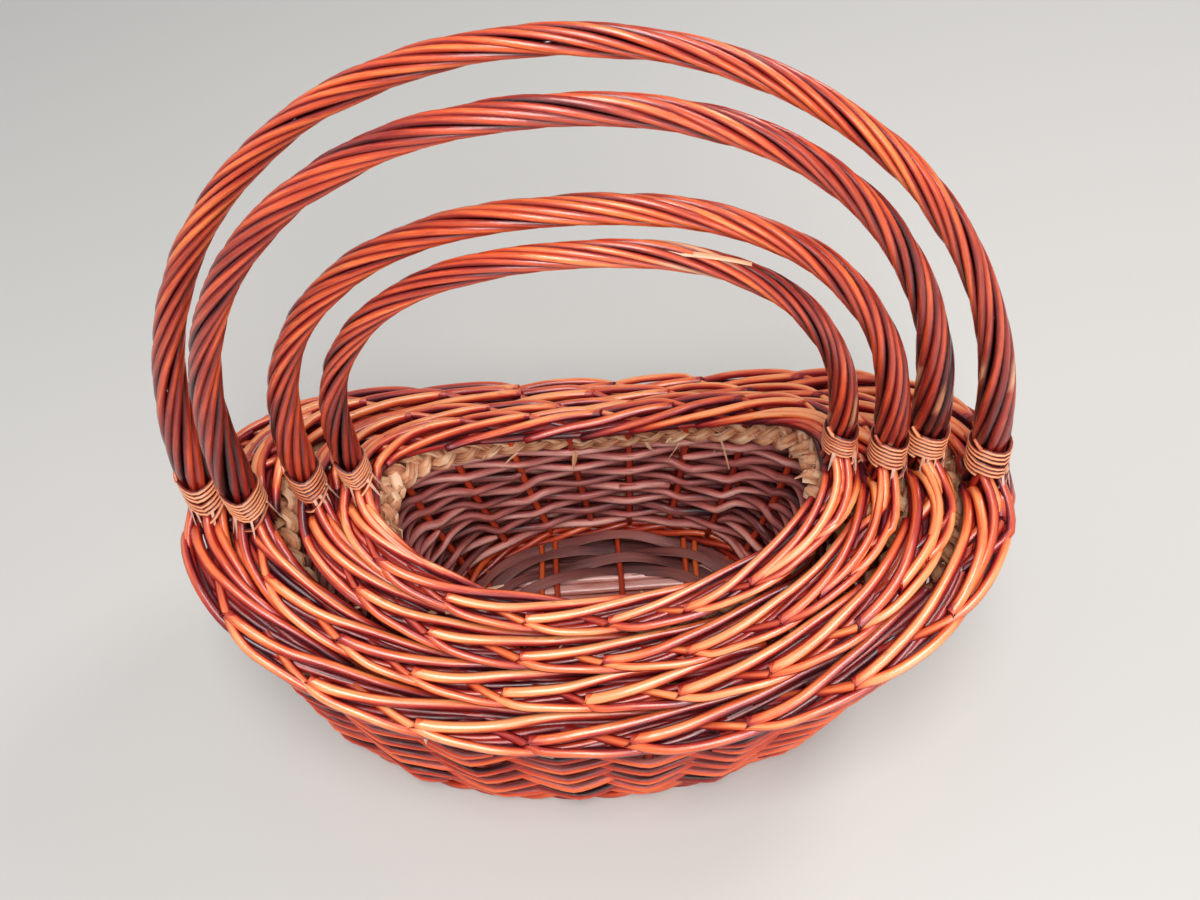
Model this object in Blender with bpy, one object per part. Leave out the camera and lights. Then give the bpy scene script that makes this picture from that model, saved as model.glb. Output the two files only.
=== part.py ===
"""A nested set of four oval willow gift baskets with twisted bow handles.

The baskets stand one inside the next. Each has a floor of sticks and flat ribbon, a twisted
foot wale, a woven side with its stakes, a band of plaited husk, a twisted border, a bow handle
of rods laid round a core, and a winding of split cane at each foot of the handle.
Metres, +Z up. The origin is on the ground, below the middle of the outer basket's rim.
The long way of the baskets lies along X, and the handles span it.
"""
import math
from dataclasses import dataclass

import bmesh
import bpy
from mathutils import Matrix, Vector

# Gaps between pieces that touch on the real basket
SEAT = 0.0003

# Outer basket: rim and foot, measured to their outer edges. The side flares from foot to rim
RIM_HALF_LENGTH = 0.250
RIM_HALF_WIDTH = 0.140
RIM_END_HEIGHT = 0.190
RIM_SIDE_HEIGHT = 0.117
END_FLARE = 0.060
SIDE_FLARE = 0.021
FOOT_HALF_LENGTH = RIM_HALF_LENGTH - END_FLARE
FOOT_HALF_WIDTH = RIM_HALF_WIDTH - SIDE_FLARE
FOOT_SHIFT_X = -0.022
FOOT_SHIFT_Y = -0.010

# Outer basket's handle: the bow, from the middle of its cane windings to its top
HANDLE_RISE = 0.272
HANDLE_INSET = 0.0165
HANDLE_FOOT_RISE = 0.024
HANDLE_FOOT_RADIUS = 0.0105
HANDLE_TOP_RADIUS = 0.0070
CORE_RADIUS = 0.0032

# Second basket: what it is smaller or higher by than the outer one
SECOND_LENGTH_STEP = 0.033
SECOND_WIDTH_STEP = 0.0205
SECOND_END_RISE = 0.003
SECOND_SIDE_RISE = 0.016
SECOND_FOOT_LENGTH_STEP = 0.025
SECOND_FOOT_WIDTH_STEP = 0.0155
SECOND_MOVE_X = -0.003
SECOND_MOVE_Y = 0.001
SECOND_FOOT_SHIFT_X = -0.011
SECOND_FOOT_SHIFT_Y = -0.008
SECOND_HANDLE_STEP = 0.012
SECOND_HANDLE_INSET = 0.0145
SECOND_FOOT_RADIUS = 0.0105
SECOND_TOP_RADIUS = 0.0072

# Third basket: what it is smaller or higher by than the second one
THIRD_LENGTH_STEP = 0.037
THIRD_WIDTH_STEP = 0.0195
THIRD_END_RISE = 0.004
THIRD_SIDE_RISE = 0.012
THIRD_FOOT_LENGTH_STEP = 0.029
THIRD_FOOT_WIDTH_STEP = 0.0185
THIRD_MOVE_X = 0.007
THIRD_MOVE_Y = 0.0
THIRD_FOOT_SHIFT_X = -0.010
THIRD_FOOT_SHIFT_Y = -0.004
THIRD_HANDLE_STEP = 0.066
THIRD_HANDLE_INSET = 0.0085
THIRD_FOOT_RADIUS = 0.0092
THIRD_TOP_RADIUS = 0.0073

# Inner basket: what it is smaller or higher by than the third one
INNER_LENGTH_STEP = 0.0255
INNER_WIDTH_STEP = 0.0180
INNER_END_RISE = 0.010
INNER_SIDE_RISE = 0.016
INNER_FOOT_LENGTH_STEP = 0.021
INNER_FOOT_WIDTH_STEP = 0.013
INNER_MOVE_X = 0.001
INNER_MOVE_Y = 0.0005
INNER_FOOT_SHIFT_X = -0.005
INNER_FOOT_SHIFT_Y = -0.0025
INNER_HANDLE_STEP = 0.021
INNER_HANDLE_INSET = 0.0125
INNER_FOOT_RADIUS = 0.0080
INNER_TOP_RADIUS = 0.0068

# How each basket is turned in the one outside it, and how its handle is turned and leans
SECOND_TURN = math.radians(-2.2)
THIRD_TURN = math.radians(1.9)
INNER_TURN = math.radians(3.1)
HANDLE_TURN = math.radians(0.5)
SECOND_HANDLE_TURN = math.radians(5.7)
THIRD_HANDLE_TURN = math.radians(1.4)
INNER_HANDLE_TURN = math.radians(-1.2)
HANDLE_LEAN = math.radians(7.5)
SECOND_HANDLE_LEAN = math.radians(0.0)
THIRD_HANDLE_LEAN = math.radians(1.8)
INNER_HANDLE_LEAN = math.radians(-3.9)

# Roundness of an oval or a bow: 2 is an ellipse, more is squarer
OVAL_POWER = 2.28
FOOT_POWER = 2.18
BOW_POWERS = (2.06, 2.17, 2.35, 2.37)

# Border: a band of willow rods laid round and round each other
BORDER_WIDTH = 0.027
BORDER_HEIGHT = 0.017
BORDER_WIDTH_STEP = 0.0020
BORDER_HEIGHT_STEP = 0.0009
BORDER_PITCH = 0.24
BORDER_RODS = 5

# Plaited husk band under the border
PLAIT_HEIGHT = 0.015
PLAIT_THICKNESS = 0.0095

# Woven side: an odd number of courses, whose rods go out round one stake and in behind the next.
# The first stake stands so many half spacings from the +X end.
SIDE_THICKNESS = 0.0085
ROD_PROUD = 0.0038
ROD_SUNK = 0.0012
PLAIN_PROUD = 0.0008
STAKE_COUNTS = (20, 16, 16, 18)
STAKE_STARTS = (1, 0, 0, 0)
COURSE_COUNTS = (11, 1, 1, 11)

# Foot wale: three rods twisted round the foot, flat where they stand
WALE_WIDTH = 0.012
WALE_HEIGHT = 0.0115
WALE_FLAT = 0.0022
WALE_PITCH = 0.22
WALE_RODS = 3

# Floor: flattened sticks below, ribbon woven over them above
STICK_LIFT = 0.0005
STICK_THICKNESS = 0.0044
STICK_WIDTH = 0.006
STICK_END_GAP = 0.004
STICK_COUNTS = (3, 5)
RIBBON_THICKNESS = 0.005

# Handle rods, laid right-handed round the core
HANDLE_PITCH = 0.20
HANDLE_RODS = 8

# Winding of split cane round each foot of a handle
CANE_RADIUS = 0.0011
CANE_PITCH = 0.0028
CANE_TURNS = 7
CANE_POINTS = 8

# Facets
FOOT_STATION_COUNTS = (26, 25, 22, 20)
HANDLE_STATION_COUNTS = (28, 26, 22, 20)
BOW_STEPS = 720
CORE_SIDES = 5
SMOOTH_ANGLE = math.radians(50)
WEAVE_SMOOTH_ANGLE = math.radians(16)

# Shares of the sizes that they follow
SIDE_INSET_SHARE = 0.62
ROD_VALLEY_SHARE = 0.86
WALE_VALLEY_SHARE = 0.80
PLAIT_SWELL_SHARE = 0.14
PLAIT_EDGE_SHARE = 0.55
PLAIN_LEVEL_SHARES = (0.0, 0.45, 1.0)
BULGE_SHARE = 0.10
STAKE_LEAN_SHARES = (0.115, 0.05, 0.05, 0.05)
SLIM_POWER = 1.5
LONG_SPREAD_SHARE = 0.36
CROSS_SPREAD_SHARE = 0.74

# Finishes: colour, roughness
ROD_FINISH = ((0.47, 0.13, 0.05), 0.32)
HANDLE_FINISH = ((0.38, 0.09, 0.04), 0.25)
SIDE_FINISH = ((0.40, 0.10, 0.05), 0.38)
CORE_FINISH = ((0.30, 0.08, 0.04), 0.45)
HUSK_FINISH = ((0.55, 0.33, 0.18), 0.75)
CANE_FINISH = ((0.62, 0.27, 0.13), 0.35)
RIBBON_FINISH = ((0.20, 0.09, 0.08), 0.60)
STICK_FINISH = ((0.42, 0.12, 0.06), 0.45)


@dataclass
class Basket:
    """One basket's own sizes. Heights are above its own foot."""

    name: str
    index: int
    rim_length: float
    rim_width: float
    end_height: float
    side_height: float
    foot_length: float
    foot_width: float
    foot_shift: Vector
    handle_rise: float
    handle_inset: float
    foot_radius: float
    top_radius: float
    handle_turn: float
    handle_lean: float

    @property
    def border_width(self):
        return BORDER_WIDTH - self.index * BORDER_WIDTH_STEP

    @property
    def border_height(self):
        return BORDER_HEIGHT - self.index * BORDER_HEIGHT_STEP


def floor_top():
    """Height of the floor's upper face above the basket's foot."""
    return STICK_LIFT + STICK_THICKNESS + SEAT + RIBBON_THICKNESS


def smaller(outside, name, steps, rises, foot_steps, foot_shift, handle):
    """A basket that nests in another, from what it is smaller or higher by."""
    drop = floor_top() + SEAT
    handle_step, inset, foot_radius, top_radius, turn, lean = handle
    return Basket(
        name=name,
        index=outside.index + 1,
        rim_length=outside.rim_length - steps[0],
        rim_width=outside.rim_width - steps[1],
        end_height=outside.end_height + rises[0] - drop,
        side_height=outside.side_height + rises[1] - drop,
        foot_length=outside.foot_length - foot_steps[0],
        foot_width=outside.foot_width - foot_steps[1],
        foot_shift=Vector((foot_shift[0], foot_shift[1], 0)),
        handle_rise=outside.handle_rise - handle_step,
        handle_inset=inset,
        foot_radius=foot_radius,
        top_radius=top_radius,
        handle_turn=turn,
        handle_lean=lean,
    )


def clear_scene():
    for item in list(bpy.data.objects):
        bpy.data.objects.remove(item, do_unlink=True)


def material(name, finish):
    """A Principled material, made once for each name."""
    found = bpy.data.materials.get(name)
    if found:
        return found
    colour, roughness = finish
    made = bpy.data.materials.new(name)
    made.use_nodes = True
    shader = made.node_tree.nodes["Principled BSDF"]
    shader.inputs["Base Color"].default_value = (*colour, 1)
    shader.inputs["Roughness"].default_value = roughness
    shader.inputs["Metallic"].default_value = 0
    return made


def add_object(name, data, parent, finish):
    """Put a mesh or a curve in the scene, under its basket's empty."""
    made = bpy.data.objects.new(name, data)
    bpy.context.scene.collection.objects.link(made)
    made.parent = parent
    data.materials.append(material(name, finish))
    return made


def mesh_from(bm, name, smooth_angle=SMOOTH_ANGLE):
    """Finish a bmesh: outward faces, triangles, smooth shading."""
    bmesh.ops.triangulate(bm, faces=bm.faces[:])
    bmesh.ops.recalc_face_normals(bm, faces=bm.faces[:])
    if bm.calc_volume(signed=True) < 0:
        bmesh.ops.reverse_faces(bm, faces=bm.faces[:])
    data = bpy.data.meshes.new(name)
    bm.to_mesh(data)
    bm.free()
    data.shade_smooth()
    data.set_sharp_from_angle(angle=smooth_angle)
    return data


def loft(rings, closed):
    """A skin over rings of points; an open one gets flat ends."""
    bm = bmesh.new()
    loops = [[bm.verts.new(point) for point in ring] for ring in rings]
    sides = len(loops[0])
    spans = len(loops) if closed else len(loops) - 1
    for i in range(spans):
        near = loops[i]
        far = loops[(i + 1) % len(loops)]
        for j in range(sides):
            k = (j + 1) % sides
            bm.faces.new((near[j], near[k], far[k], far[j]))
    if not closed:
        bm.faces.new(loops[0])
        bm.faces.new(loops[-1])
    return bm


def oval_point(angle, half_length, half_width, power):
    """A point of a squared oval."""
    cosine = math.cos(angle)
    sine = math.sin(angle)
    x = math.copysign(abs(cosine) ** (2 / power), cosine) * half_length
    y = math.copysign(abs(sine) ** (2 / power), sine) * half_width
    return Vector((x, y, 0))


def oval_normal(point, half_length, half_width, power):
    """The outward direction of a squared oval at one of its points."""
    x = math.copysign((abs(point.x) / half_length) ** (power - 1), point.x) / half_length
    y = math.copysign((abs(point.y) / half_width) ** (power - 1), point.y) / half_width
    return Vector((x, y, 0)).normalized()


def even_angles(count, half_length, half_width, power, fine=1440):
    """Angles whose points lie evenly along an oval, the first at its +X end."""
    points = [oval_point(math.tau * i / fine, half_length, half_width, power) for i in range(fine + 1)]
    along = [0.0]
    for a, b in zip(points, points[1:]):
        along.append(along[-1] + (b - a).length)
    angles = []
    i = 0
    for step in range(count):
        goal = along[-1] * step / count
        while along[i + 1] < goal:
            i += 1
        part = (goal - along[i]) / (along[i + 1] - along[i])
        angles.append(math.tau * (i + part) / fine)
    return angles, along[-1]


class Shape:
    """The skew oval cone that a basket's side follows, from its foot to its rim."""

    def __init__(self, basket):
        self.basket = basket
        self.low_length = basket.foot_length - SIDE_THICKNESS / 2
        self.low_width = basket.foot_width - SIDE_THICKNESS / 2
        self.top_length = basket.rim_length - basket.border_width / 2
        self.top_width = basket.rim_width - basket.border_width / 2
        self.angles, self.perimeter = even_angles(
            2 * STAKE_COUNTS[basket.index], self.top_length, self.top_width, OVAL_POWER
        )
        self.foot_angles, self.foot_perimeter = even_angles(
            FOOT_STATION_COUNTS[basket.index], basket.foot_length, basket.foot_width, FOOT_POWER
        )

    def rim_height(self, angle):
        """Height of the border's middle: the rim dips between the handle's feet."""
        basket = self.basket
        share = oval_point(angle, 1, 1, OVAL_POWER).x ** 2
        return basket.side_height + (basket.end_height - basket.side_height) * share

    def border_at(self, angle, height):
        """Below or on the middle of the border, and the outward direction there."""
        flat = oval_point(angle, self.top_length, self.top_width, OVAL_POWER)
        normal = oval_normal(flat, self.top_length, self.top_width, OVAL_POWER)
        return flat + Vector((0, 0, height)), normal

    def side_at(self, angle, share, height):
        """Middle of the side at a share of its height, and the outward direction there.

        The stakes lean along the side: their feet stand nearer the +X end than their tops."""
        top, top_normal = self.border_at(angle, height)
        top -= top_normal * self.basket.border_width * (SIDE_INSET_SHARE - 1 / 2)
        low_angle = angle - STAKE_LEAN_SHARES[self.basket.index] * math.sin(angle)
        low = oval_point(low_angle, self.low_length, self.low_width, FOOT_POWER)
        low_normal = oval_normal(low, self.low_length, self.low_width, FOOT_POWER)
        low += self.basket.foot_shift + Vector((0, 0, height))
        bulged = share + BULGE_SHARE * math.sin(math.pi * share)
        return low.lerp(top, bulged), low_normal.lerp(top_normal, share).normalized()

    def foot_at(self, angle, inward, height):
        """A point near the foot, some way in from its outer edge, and the outward direction."""
        basket = self.basket
        flat = oval_point(angle, basket.foot_length, basket.foot_width, FOOT_POWER)
        normal = oval_normal(flat, basket.foot_length, basket.foot_width, FOOT_POWER)
        return flat - normal * inward + basket.foot_shift + Vector((0, 0, height)), normal


def lobed(rods, valley_share, turn):
    """Shares of a round section: a ridge for each rod, a valley between two."""
    count = rods * 2
    for j in range(count):
        reach = 1 if j % 2 == 0 else valley_share
        angle = turn + math.tau * j / count
        yield reach * math.cos(angle), reach * math.sin(angle)


def whole_turns(length, pitch):
    return max(1, round(length / pitch))


def side_top(basket):
    """How far the woven side's top edge lies below the border's middle."""
    return basket.border_height / 2 + SEAT + PLAIT_HEIGHT + SEAT


def border(shape, parent):
    """The border's rods lie as a flattened rope that follows the dipping rim."""
    basket = shape.basket
    turns = whole_turns(shape.perimeter, BORDER_PITCH)
    rings = []
    for i, angle in enumerate(shape.angles):
        middle, normal = shape.border_at(angle, shape.rim_height(angle))
        turn = math.tau * turns * i / len(shape.angles)
        ring = []
        for out, up in lobed(BORDER_RODS, ROD_VALLEY_SHARE, turn):
            rise = Vector((0, 0, up * basket.border_height / 2))
            ring.append(middle + normal * out * basket.border_width / 2 + rise)
        rings.append(ring)
    data = mesh_from(loft(rings, closed=True), basket.name + "_border")
    return add_object(basket.name + "_border", data, parent, ROD_FINISH)


def husk_plait(shape, parent):
    """The plaited band swells and narrows from one lock of the plait to the next."""
    basket = shape.basket
    rings = []
    for i, angle in enumerate(shape.angles):
        top = shape.rim_height(angle) - basket.border_height / 2 - SEAT
        low = top - PLAIT_HEIGHT
        swell = 1 + PLAIT_SWELL_SHARE * (1 if i % 2 else -1)
        half = PLAIT_THICKNESS / 2 * swell
        edge = PLAIT_THICKNESS / 2 * PLAIT_EDGE_SHARE
        ring = []
        for out, height in (
            (edge, top),
            (-edge, top),
            (-half, (top + low) / 2),
            (-edge, low),
            (edge, low),
            (half, (top + low) / 2),
        ):
            middle, normal = shape.side_at(angle, 1, height)
            ring.append(middle + normal * out)
        rings.append(ring)
    data = mesh_from(loft(rings, closed=True), basket.name + "_husk_plait")
    return add_object(basket.name + "_husk_plait", data, parent, HUSK_FINISH)


def course_shares(courses):
    """Shares of the side's height: its lower edge, the middle of each course and its upper edge."""
    return [0] + [(course + 1 / 2) / courses for course in range(courses)] + [1]


def woven_face(bm, columns):
    """Triangles over a ring of columns: one in two has a point at every course, the rest at every other."""
    count = len(columns)
    for i in range(0, count, 2):
        full = columns[i]
        for beside in (columns[i - 1], columns[i + 1]):
            for low in range(0, len(full) - 1, 2):
                a, b, c = full[low : low + 3]
                d, e = beside[low // 2 : low // 2 + 2]
                for face in ((a, d, b), (d, e, b), (b, e, c)):
                    bm.faces.new(face)


def band(bm, columns):
    """Quads over a ring of columns that have as many points each."""
    for i, column in enumerate(columns):
        before = columns[i - 1]
        for j in range(len(column) - 1):
            bm.faces.new((before[j], column[j], column[j + 1], before[j + 1]))


def side_weave(shape, parent):
    """The woven side: its rods stand out from it at one stake and lie behind the next.

    The outermost basket shows this on its outside and the innermost on its inside. The nest
    hides the walls between them, which carry it in fewer courses on their outsides."""
    basket = shape.basket
    low = WALE_HEIGHT + SEAT
    innermost = basket.index == len(STAKE_COUNTS) - 1
    seen = basket.index == 0 or innermost
    way = -1 if innermost else 1
    proud, sunk = (ROD_PROUD, ROD_SUNK) if seen else (PLAIN_PROUD, PLAIN_PROUD)
    shares = course_shares(COURSE_COUNTS[basket.index])
    start = STAKE_STARTS[basket.index]
    bm = bmesh.new()
    woven = []
    plain = []
    for i, angle in enumerate(shape.angles[start:] + shape.angles[:start]):
        high = shape.rim_height(angle) - side_top(basket)

        def spot(share, out):
            middle, normal = shape.side_at(angle, share, low + (high - low) * share)
            return bm.verts.new(middle + normal * way * out)

        column = []
        for course, share in enumerate(shares):
            rise = 0
            if 0 < share < 1:
                rise = proud if i % 2 == 0 and (course + i // 2) % 2 == 0 else -sunk
            if i % 2 == 0 or course % 2 == 0:
                column.append(spot(share, SIDE_THICKNESS / 2 + rise))
        woven.append(column)
        plain.append([spot(share, -SIDE_THICKNESS / 2) for share in PLAIN_LEVEL_SHARES])
    woven_face(bm, woven)
    band(bm, plain)
    band(bm, [(column[0], back[0]) for column, back in zip(woven, plain)])
    band(bm, [(column[-1], back[-1]) for column, back in zip(woven, plain)])
    data = mesh_from(bm, basket.name + "_side_weave", WEAVE_SMOOTH_ANGLE)
    return add_object(basket.name + "_side_weave", data, parent, SIDE_FINISH)


def foot_wale(shape, parent):
    """Three rods twisted round the foot, worn flat where the basket stands."""
    basket = shape.basket
    turns = whole_turns(shape.foot_perimeter, WALE_PITCH)
    half_height = (WALE_HEIGHT + WALE_FLAT) / 2
    rings = []
    for i, angle in enumerate(shape.foot_angles):
        middle, normal = shape.foot_at(angle, WALE_WIDTH / 2, half_height - WALE_FLAT)
        turn = math.tau * turns * i / len(shape.foot_angles)
        ring = []
        for out, up in lobed(WALE_RODS, WALE_VALLEY_SHARE, turn):
            ring.append(middle + normal * out * WALE_WIDTH / 2 + Vector((0, 0, up * half_height)))
        rings.append(ring)
    data = mesh_from(loft(rings, closed=True), basket.name + "_foot_wale")
    wale = add_object(basket.name + "_foot_wale", data, parent, ROD_FINISH)
    cut(wale, ground_cutter(basket, parent))
    return wale


def ground_cutter(basket, parent):
    """All that lies below a basket's foot."""
    corners = []
    for x, y in ((-1, -1), (1, -1), (1, 1), (-1, 1)):
        corners.append(Vector((x * basket.rim_length, y * basket.rim_width, 0)))
    deep = Vector((0, 0, -WALE_HEIGHT))
    data = mesh_from(loft([corners, [corner + deep for corner in corners]], closed=False), "ground")
    return hide_cutter(add_object(basket.name + "_ground", data, parent, CORE_FINISH))


def hide_cutter(cutter):
    cutter.hide_render = True
    cutter.display_type = "WIRE"
    return cutter


def floor_outline(shape, height):
    """The floor's edge, just inside the foot wale."""
    inward = WALE_WIDTH + SEAT
    return [shape.foot_at(angle, inward, height)[0] for angle in shape.foot_angles]


def floor_ribbon(shape, parent):
    """Flat ribbon woven over the floor's sticks."""
    basket = shape.basket
    low = STICK_LIFT + STICK_THICKNESS + SEAT
    rings = [floor_outline(shape, low), floor_outline(shape, low + RIBBON_THICKNESS)]
    data = mesh_from(loft(rings, closed=False), basket.name + "_floor_ribbon")
    return add_object(basket.name + "_floor_ribbon", data, parent, RIBBON_FINISH)


def stick_lines(count, reach):
    """Both edges of each stick in a row of parallel sticks."""
    lines = []
    for i in range(count):
        middle = reach * (2 * i / (count - 1) - 1)
        lines += [middle - STICK_WIDTH / 2, middle + STICK_WIDTH / 2]
    return lines


def floor_sticks(shape, parent):
    """Long sticks crossed by short ones, each ending just inside the foot."""
    basket = shape.basket
    half_length = basket.foot_length - WALE_WIDTH - STICK_END_GAP
    half_width = basket.foot_width - WALE_WIDTH - STICK_END_GAP
    long_count, cross_count = STICK_COUNTS
    cross_lines = stick_lines(cross_count, half_length * CROSS_SPREAD_SHARE)
    long_lines = stick_lines(long_count, half_width * LONG_SPREAD_SHARE)
    columns = [-half_length] + cross_lines + [half_length]
    rows = [-half_width] + long_lines + [half_width]

    def reach(across, half_across, half_along):
        """How far a stick runs before it meets the foot's oval."""
        share = min(abs(across) / half_across, 1)
        return half_along * (1 - share**FOOT_POWER) ** (1 / FOOT_POWER)

    def corner(i, j):
        x = columns[i]
        y = rows[j]
        if j in (0, len(rows) - 1):
            y = math.copysign(reach(x, half_length, half_width), y)
        if i in (0, len(columns) - 1):
            x = math.copysign(reach(y, half_width, half_length), x)
        return Vector((x, y, STICK_LIFT)) + basket.foot_shift

    bm = bmesh.new()
    verts = {}
    for i in range(len(columns) - 1):
        for j in range(len(rows) - 1):
            if i % 2 == 0 and j % 2 == 0:
                continue
            keys = ((i, j), (i + 1, j), (i + 1, j + 1), (i, j + 1))
            for key in keys:
                if key not in verts:
                    verts[key] = bm.verts.new(corner(*key))
            bm.faces.new([verts[key] for key in keys])
    lifted = bmesh.ops.extrude_face_region(bm, geom=bm.faces[:])
    moved = [item for item in lifted["geom"] if isinstance(item, bmesh.types.BMVert)]
    bmesh.ops.translate(bm, vec=(0, 0, STICK_THICKNESS), verts=moved)
    data = mesh_from(bm, basket.name + "_floor_sticks")
    return add_object(basket.name + "_floor_sticks", data, parent, STICK_FINISH)


class Bow:
    """The line of a handle: a leg, a squared arch and a leg, in one leaning plane."""

    def __init__(self, basket):
        self.basket = basket
        self.span = basket.rim_length - basket.handle_inset
        self.foot = basket.end_height + HANDLE_FOOT_RISE
        self.slope = math.tan(basket.handle_lean)
        self.across = Matrix.Rotation(basket.handle_turn, 3, "Z")
        self.points = [self.flat_point(math.pi * i / BOW_STEPS) for i in range(BOW_STEPS + 1)]
        self.along = [0.0]
        for a, b in zip(self.points, self.points[1:]):
            self.along.append(self.along[-1] + (b - a).length)
        self.length = self.along[-1]

    def flat_point(self, angle):
        """A point of the arch in its own plane, from the left foot over to the right."""
        point = oval_point(angle, self.span, self.basket.handle_rise, BOW_POWERS[self.basket.index])
        return Vector((-point.x, point.y))

    def arch_at(self, distance):
        distance = min(max(distance, 0), self.length)
        i = 0
        while i < BOW_STEPS - 1 and self.along[i + 1] < distance:
            i += 1
        part = (distance - self.along[i]) / (self.along[i + 1] - self.along[i])
        return self.points[i].lerp(self.points[i + 1], part)

    def stations(self, count, low):
        """Distances along the bow, from one leg's lower end to the other's; 0 is the left foot."""
        leg = self.foot - low
        arch = [self.length * i / (count - 1) for i in range(count)]
        return [-leg] + arch + [self.length + leg]

    def place(self, flat):
        """A point of the bow's own plane, in the basket's frame."""
        return self.across @ Vector((flat.x, flat.y * self.slope, flat.y)) + Vector((0, 0, self.foot))

    def at(self, distance):
        """The bow's point, its two crossways directions, and its height as a share of the rise."""
        if distance <= 0 or distance >= self.length:
            right = distance > 0
            drop = distance - self.length if right else -distance
            flat = Vector((self.span if right else -self.span, -drop))
            tangent = Vector((0, 0, -1 if right else 1))
            front = self.across @ Vector((0, -1, 0))
        else:
            flat = self.arch_at(distance)
            step = self.length / BOW_STEPS
            run = self.arch_at(distance + step) - self.arch_at(distance - step)
            tangent = (self.across @ Vector((run.x, run.y * self.slope, run.y))).normalized()
            front = (self.across @ Vector((0, -1, self.slope))).normalized()
        share = min(max(flat.y / self.basket.handle_rise, 0), 1)
        return self.place(flat), front, tangent.cross(front), share

    def radius(self, share):
        """The bundle slims from its feet to its top."""
        basket = self.basket
        return basket.top_radius + (basket.foot_radius - basket.top_radius) * (1 - share) ** SLIM_POWER

    def ring(self, distance, section):
        """A section's points around the bow, turned right-handed along it."""
        point, front, side, _ = self.at(distance)
        return [point + front * a + side * b for a, b in section]


def core_tube(bow, radius, low, name):
    """A plain round rod along the whole bow, through every other station of its rods."""
    section = []
    for j in range(CORE_SIDES):
        angle = math.tau * j / CORE_SIDES
        section.append((radius * math.cos(angle), radius * math.sin(angle)))
    count = HANDLE_STATION_COUNTS[bow.basket.index] // 2
    rings = [bow.ring(distance, section) for distance in bow.stations(count, low)]
    return mesh_from(loft(rings, closed=False), name)


def border_bottom(basket):
    return basket.end_height - basket.border_height / 2


def handle_core(bow, parent):
    """The bow's core rod; both ends stand in the border."""
    name = bow.basket.name + "_handle_core"
    data = core_tube(bow, CORE_RADIUS, border_bottom(bow.basket), name)
    return add_object(name, data, parent, CORE_FINISH)


def core_cutter(bow, parent):
    """The space that the core takes in what it passes through."""
    name = bow.basket.name + "_core_space"
    below = border_bottom(bow.basket) - bow.basket.border_height
    return hide_cutter(add_object(name, core_tube(bow, CORE_RADIUS + SEAT, below, name), parent, CORE_FINISH))


def cut(body, cutter):
    """Take a cutter's space out of a body."""
    modifier = body.modifiers.new("cut", "BOOLEAN")
    modifier.operation = "DIFFERENCE"
    modifier.solver = "EXACT"
    modifier.object = cutter


def handle_rods(bow, parent):
    """The handle's rods, laid round the core from one foot to the other."""
    basket = bow.basket
    bottom = basket.end_height + basket.border_height / 2 + SEAT
    rings = []
    for distance in bow.stations(HANDLE_STATION_COUNTS[basket.index], bottom):
        radius = bow.radius(bow.at(distance)[3])
        turn = math.tau * distance / HANDLE_PITCH
        section = [(radius * a, radius * b) for a, b in lobed(HANDLE_RODS, ROD_VALLEY_SHARE, turn)]
        rings.append(bow.ring(distance, section))
    name = basket.name + "_handle_rods"
    return add_object(name, mesh_from(loft(rings, closed=False), name), parent, HANDLE_FINISH)


def cane_winding(bow, parent, name, right):
    """Split cane wound round a foot of the handle, as one unbroken strand."""
    facet = math.cos(math.pi / CANE_POINTS)
    radius = (bow.basket.foot_radius + SEAT + CANE_RADIUS) / facet
    _, front, side, _ = bow.at(bow.length if right else 0)
    count = CANE_TURNS * CANE_POINTS
    points = []
    for i in range(count + 1):
        up = CANE_TURNS * CANE_PITCH * (i / count - 1 / 2)
        angle = math.tau * i / CANE_POINTS
        middle = bow.place(Vector((bow.span if right else -bow.span, up)))
        points.append(middle + (front * math.cos(angle) + side * math.sin(angle)) * radius)
    curve = bpy.data.curves.new(name, "CURVE")
    curve.dimensions = "3D"
    curve.bevel_depth = CANE_RADIUS
    curve.bevel_resolution = 0
    curve.use_fill_caps = True
    spline = curve.splines.new("POLY")
    spline.points.add(len(points) - 1)
    for target, point in zip(spline.points, points):
        target.co = (*point, 1)
    return add_object(name, curve, parent, CANE_FINISH), least_gap(points)


def least_gap(points):
    """The least clear space between one turn of a winding and the next."""
    least = math.inf
    for i, point in enumerate(points):
        for other in points[i + CANE_POINTS // 2 :]:
            least = min(least, (other - point).length)
    return least - 2 * CANE_RADIUS


def build_basket(basket, outside, move, turn):
    """Model one basket under its own empty, which stands on the floor of the one outside."""
    stand = bpy.data.objects.new(basket.name + "_basket", None)
    bpy.context.scene.collection.objects.link(stand)
    stand.parent = outside
    stand.location = (*move, floor_top() + SEAT if outside else 0)
    stand.rotation_euler = (0, 0, turn)
    shape = Shape(basket)
    bow = Bow(basket)
    floor_sticks(shape, stand)
    floor_ribbon(shape, stand)
    foot_wale(shape, stand)
    side_weave(shape, stand)
    husk_plait(shape, stand)
    rim = border(shape, stand)
    handle_core(bow, stand)
    rods = handle_rods(bow, stand)
    space = core_cutter(bow, stand)
    cut(rim, space)
    cut(rods, space)
    for name, right in (("_left_winding", False), ("_right_winding", True)):
        _, gap = cane_winding(bow, stand, basket.name + name, right)
        print(basket.name + name, "least gap between turns in mm:", round(gap * 1000, 2))
    return stand


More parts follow.
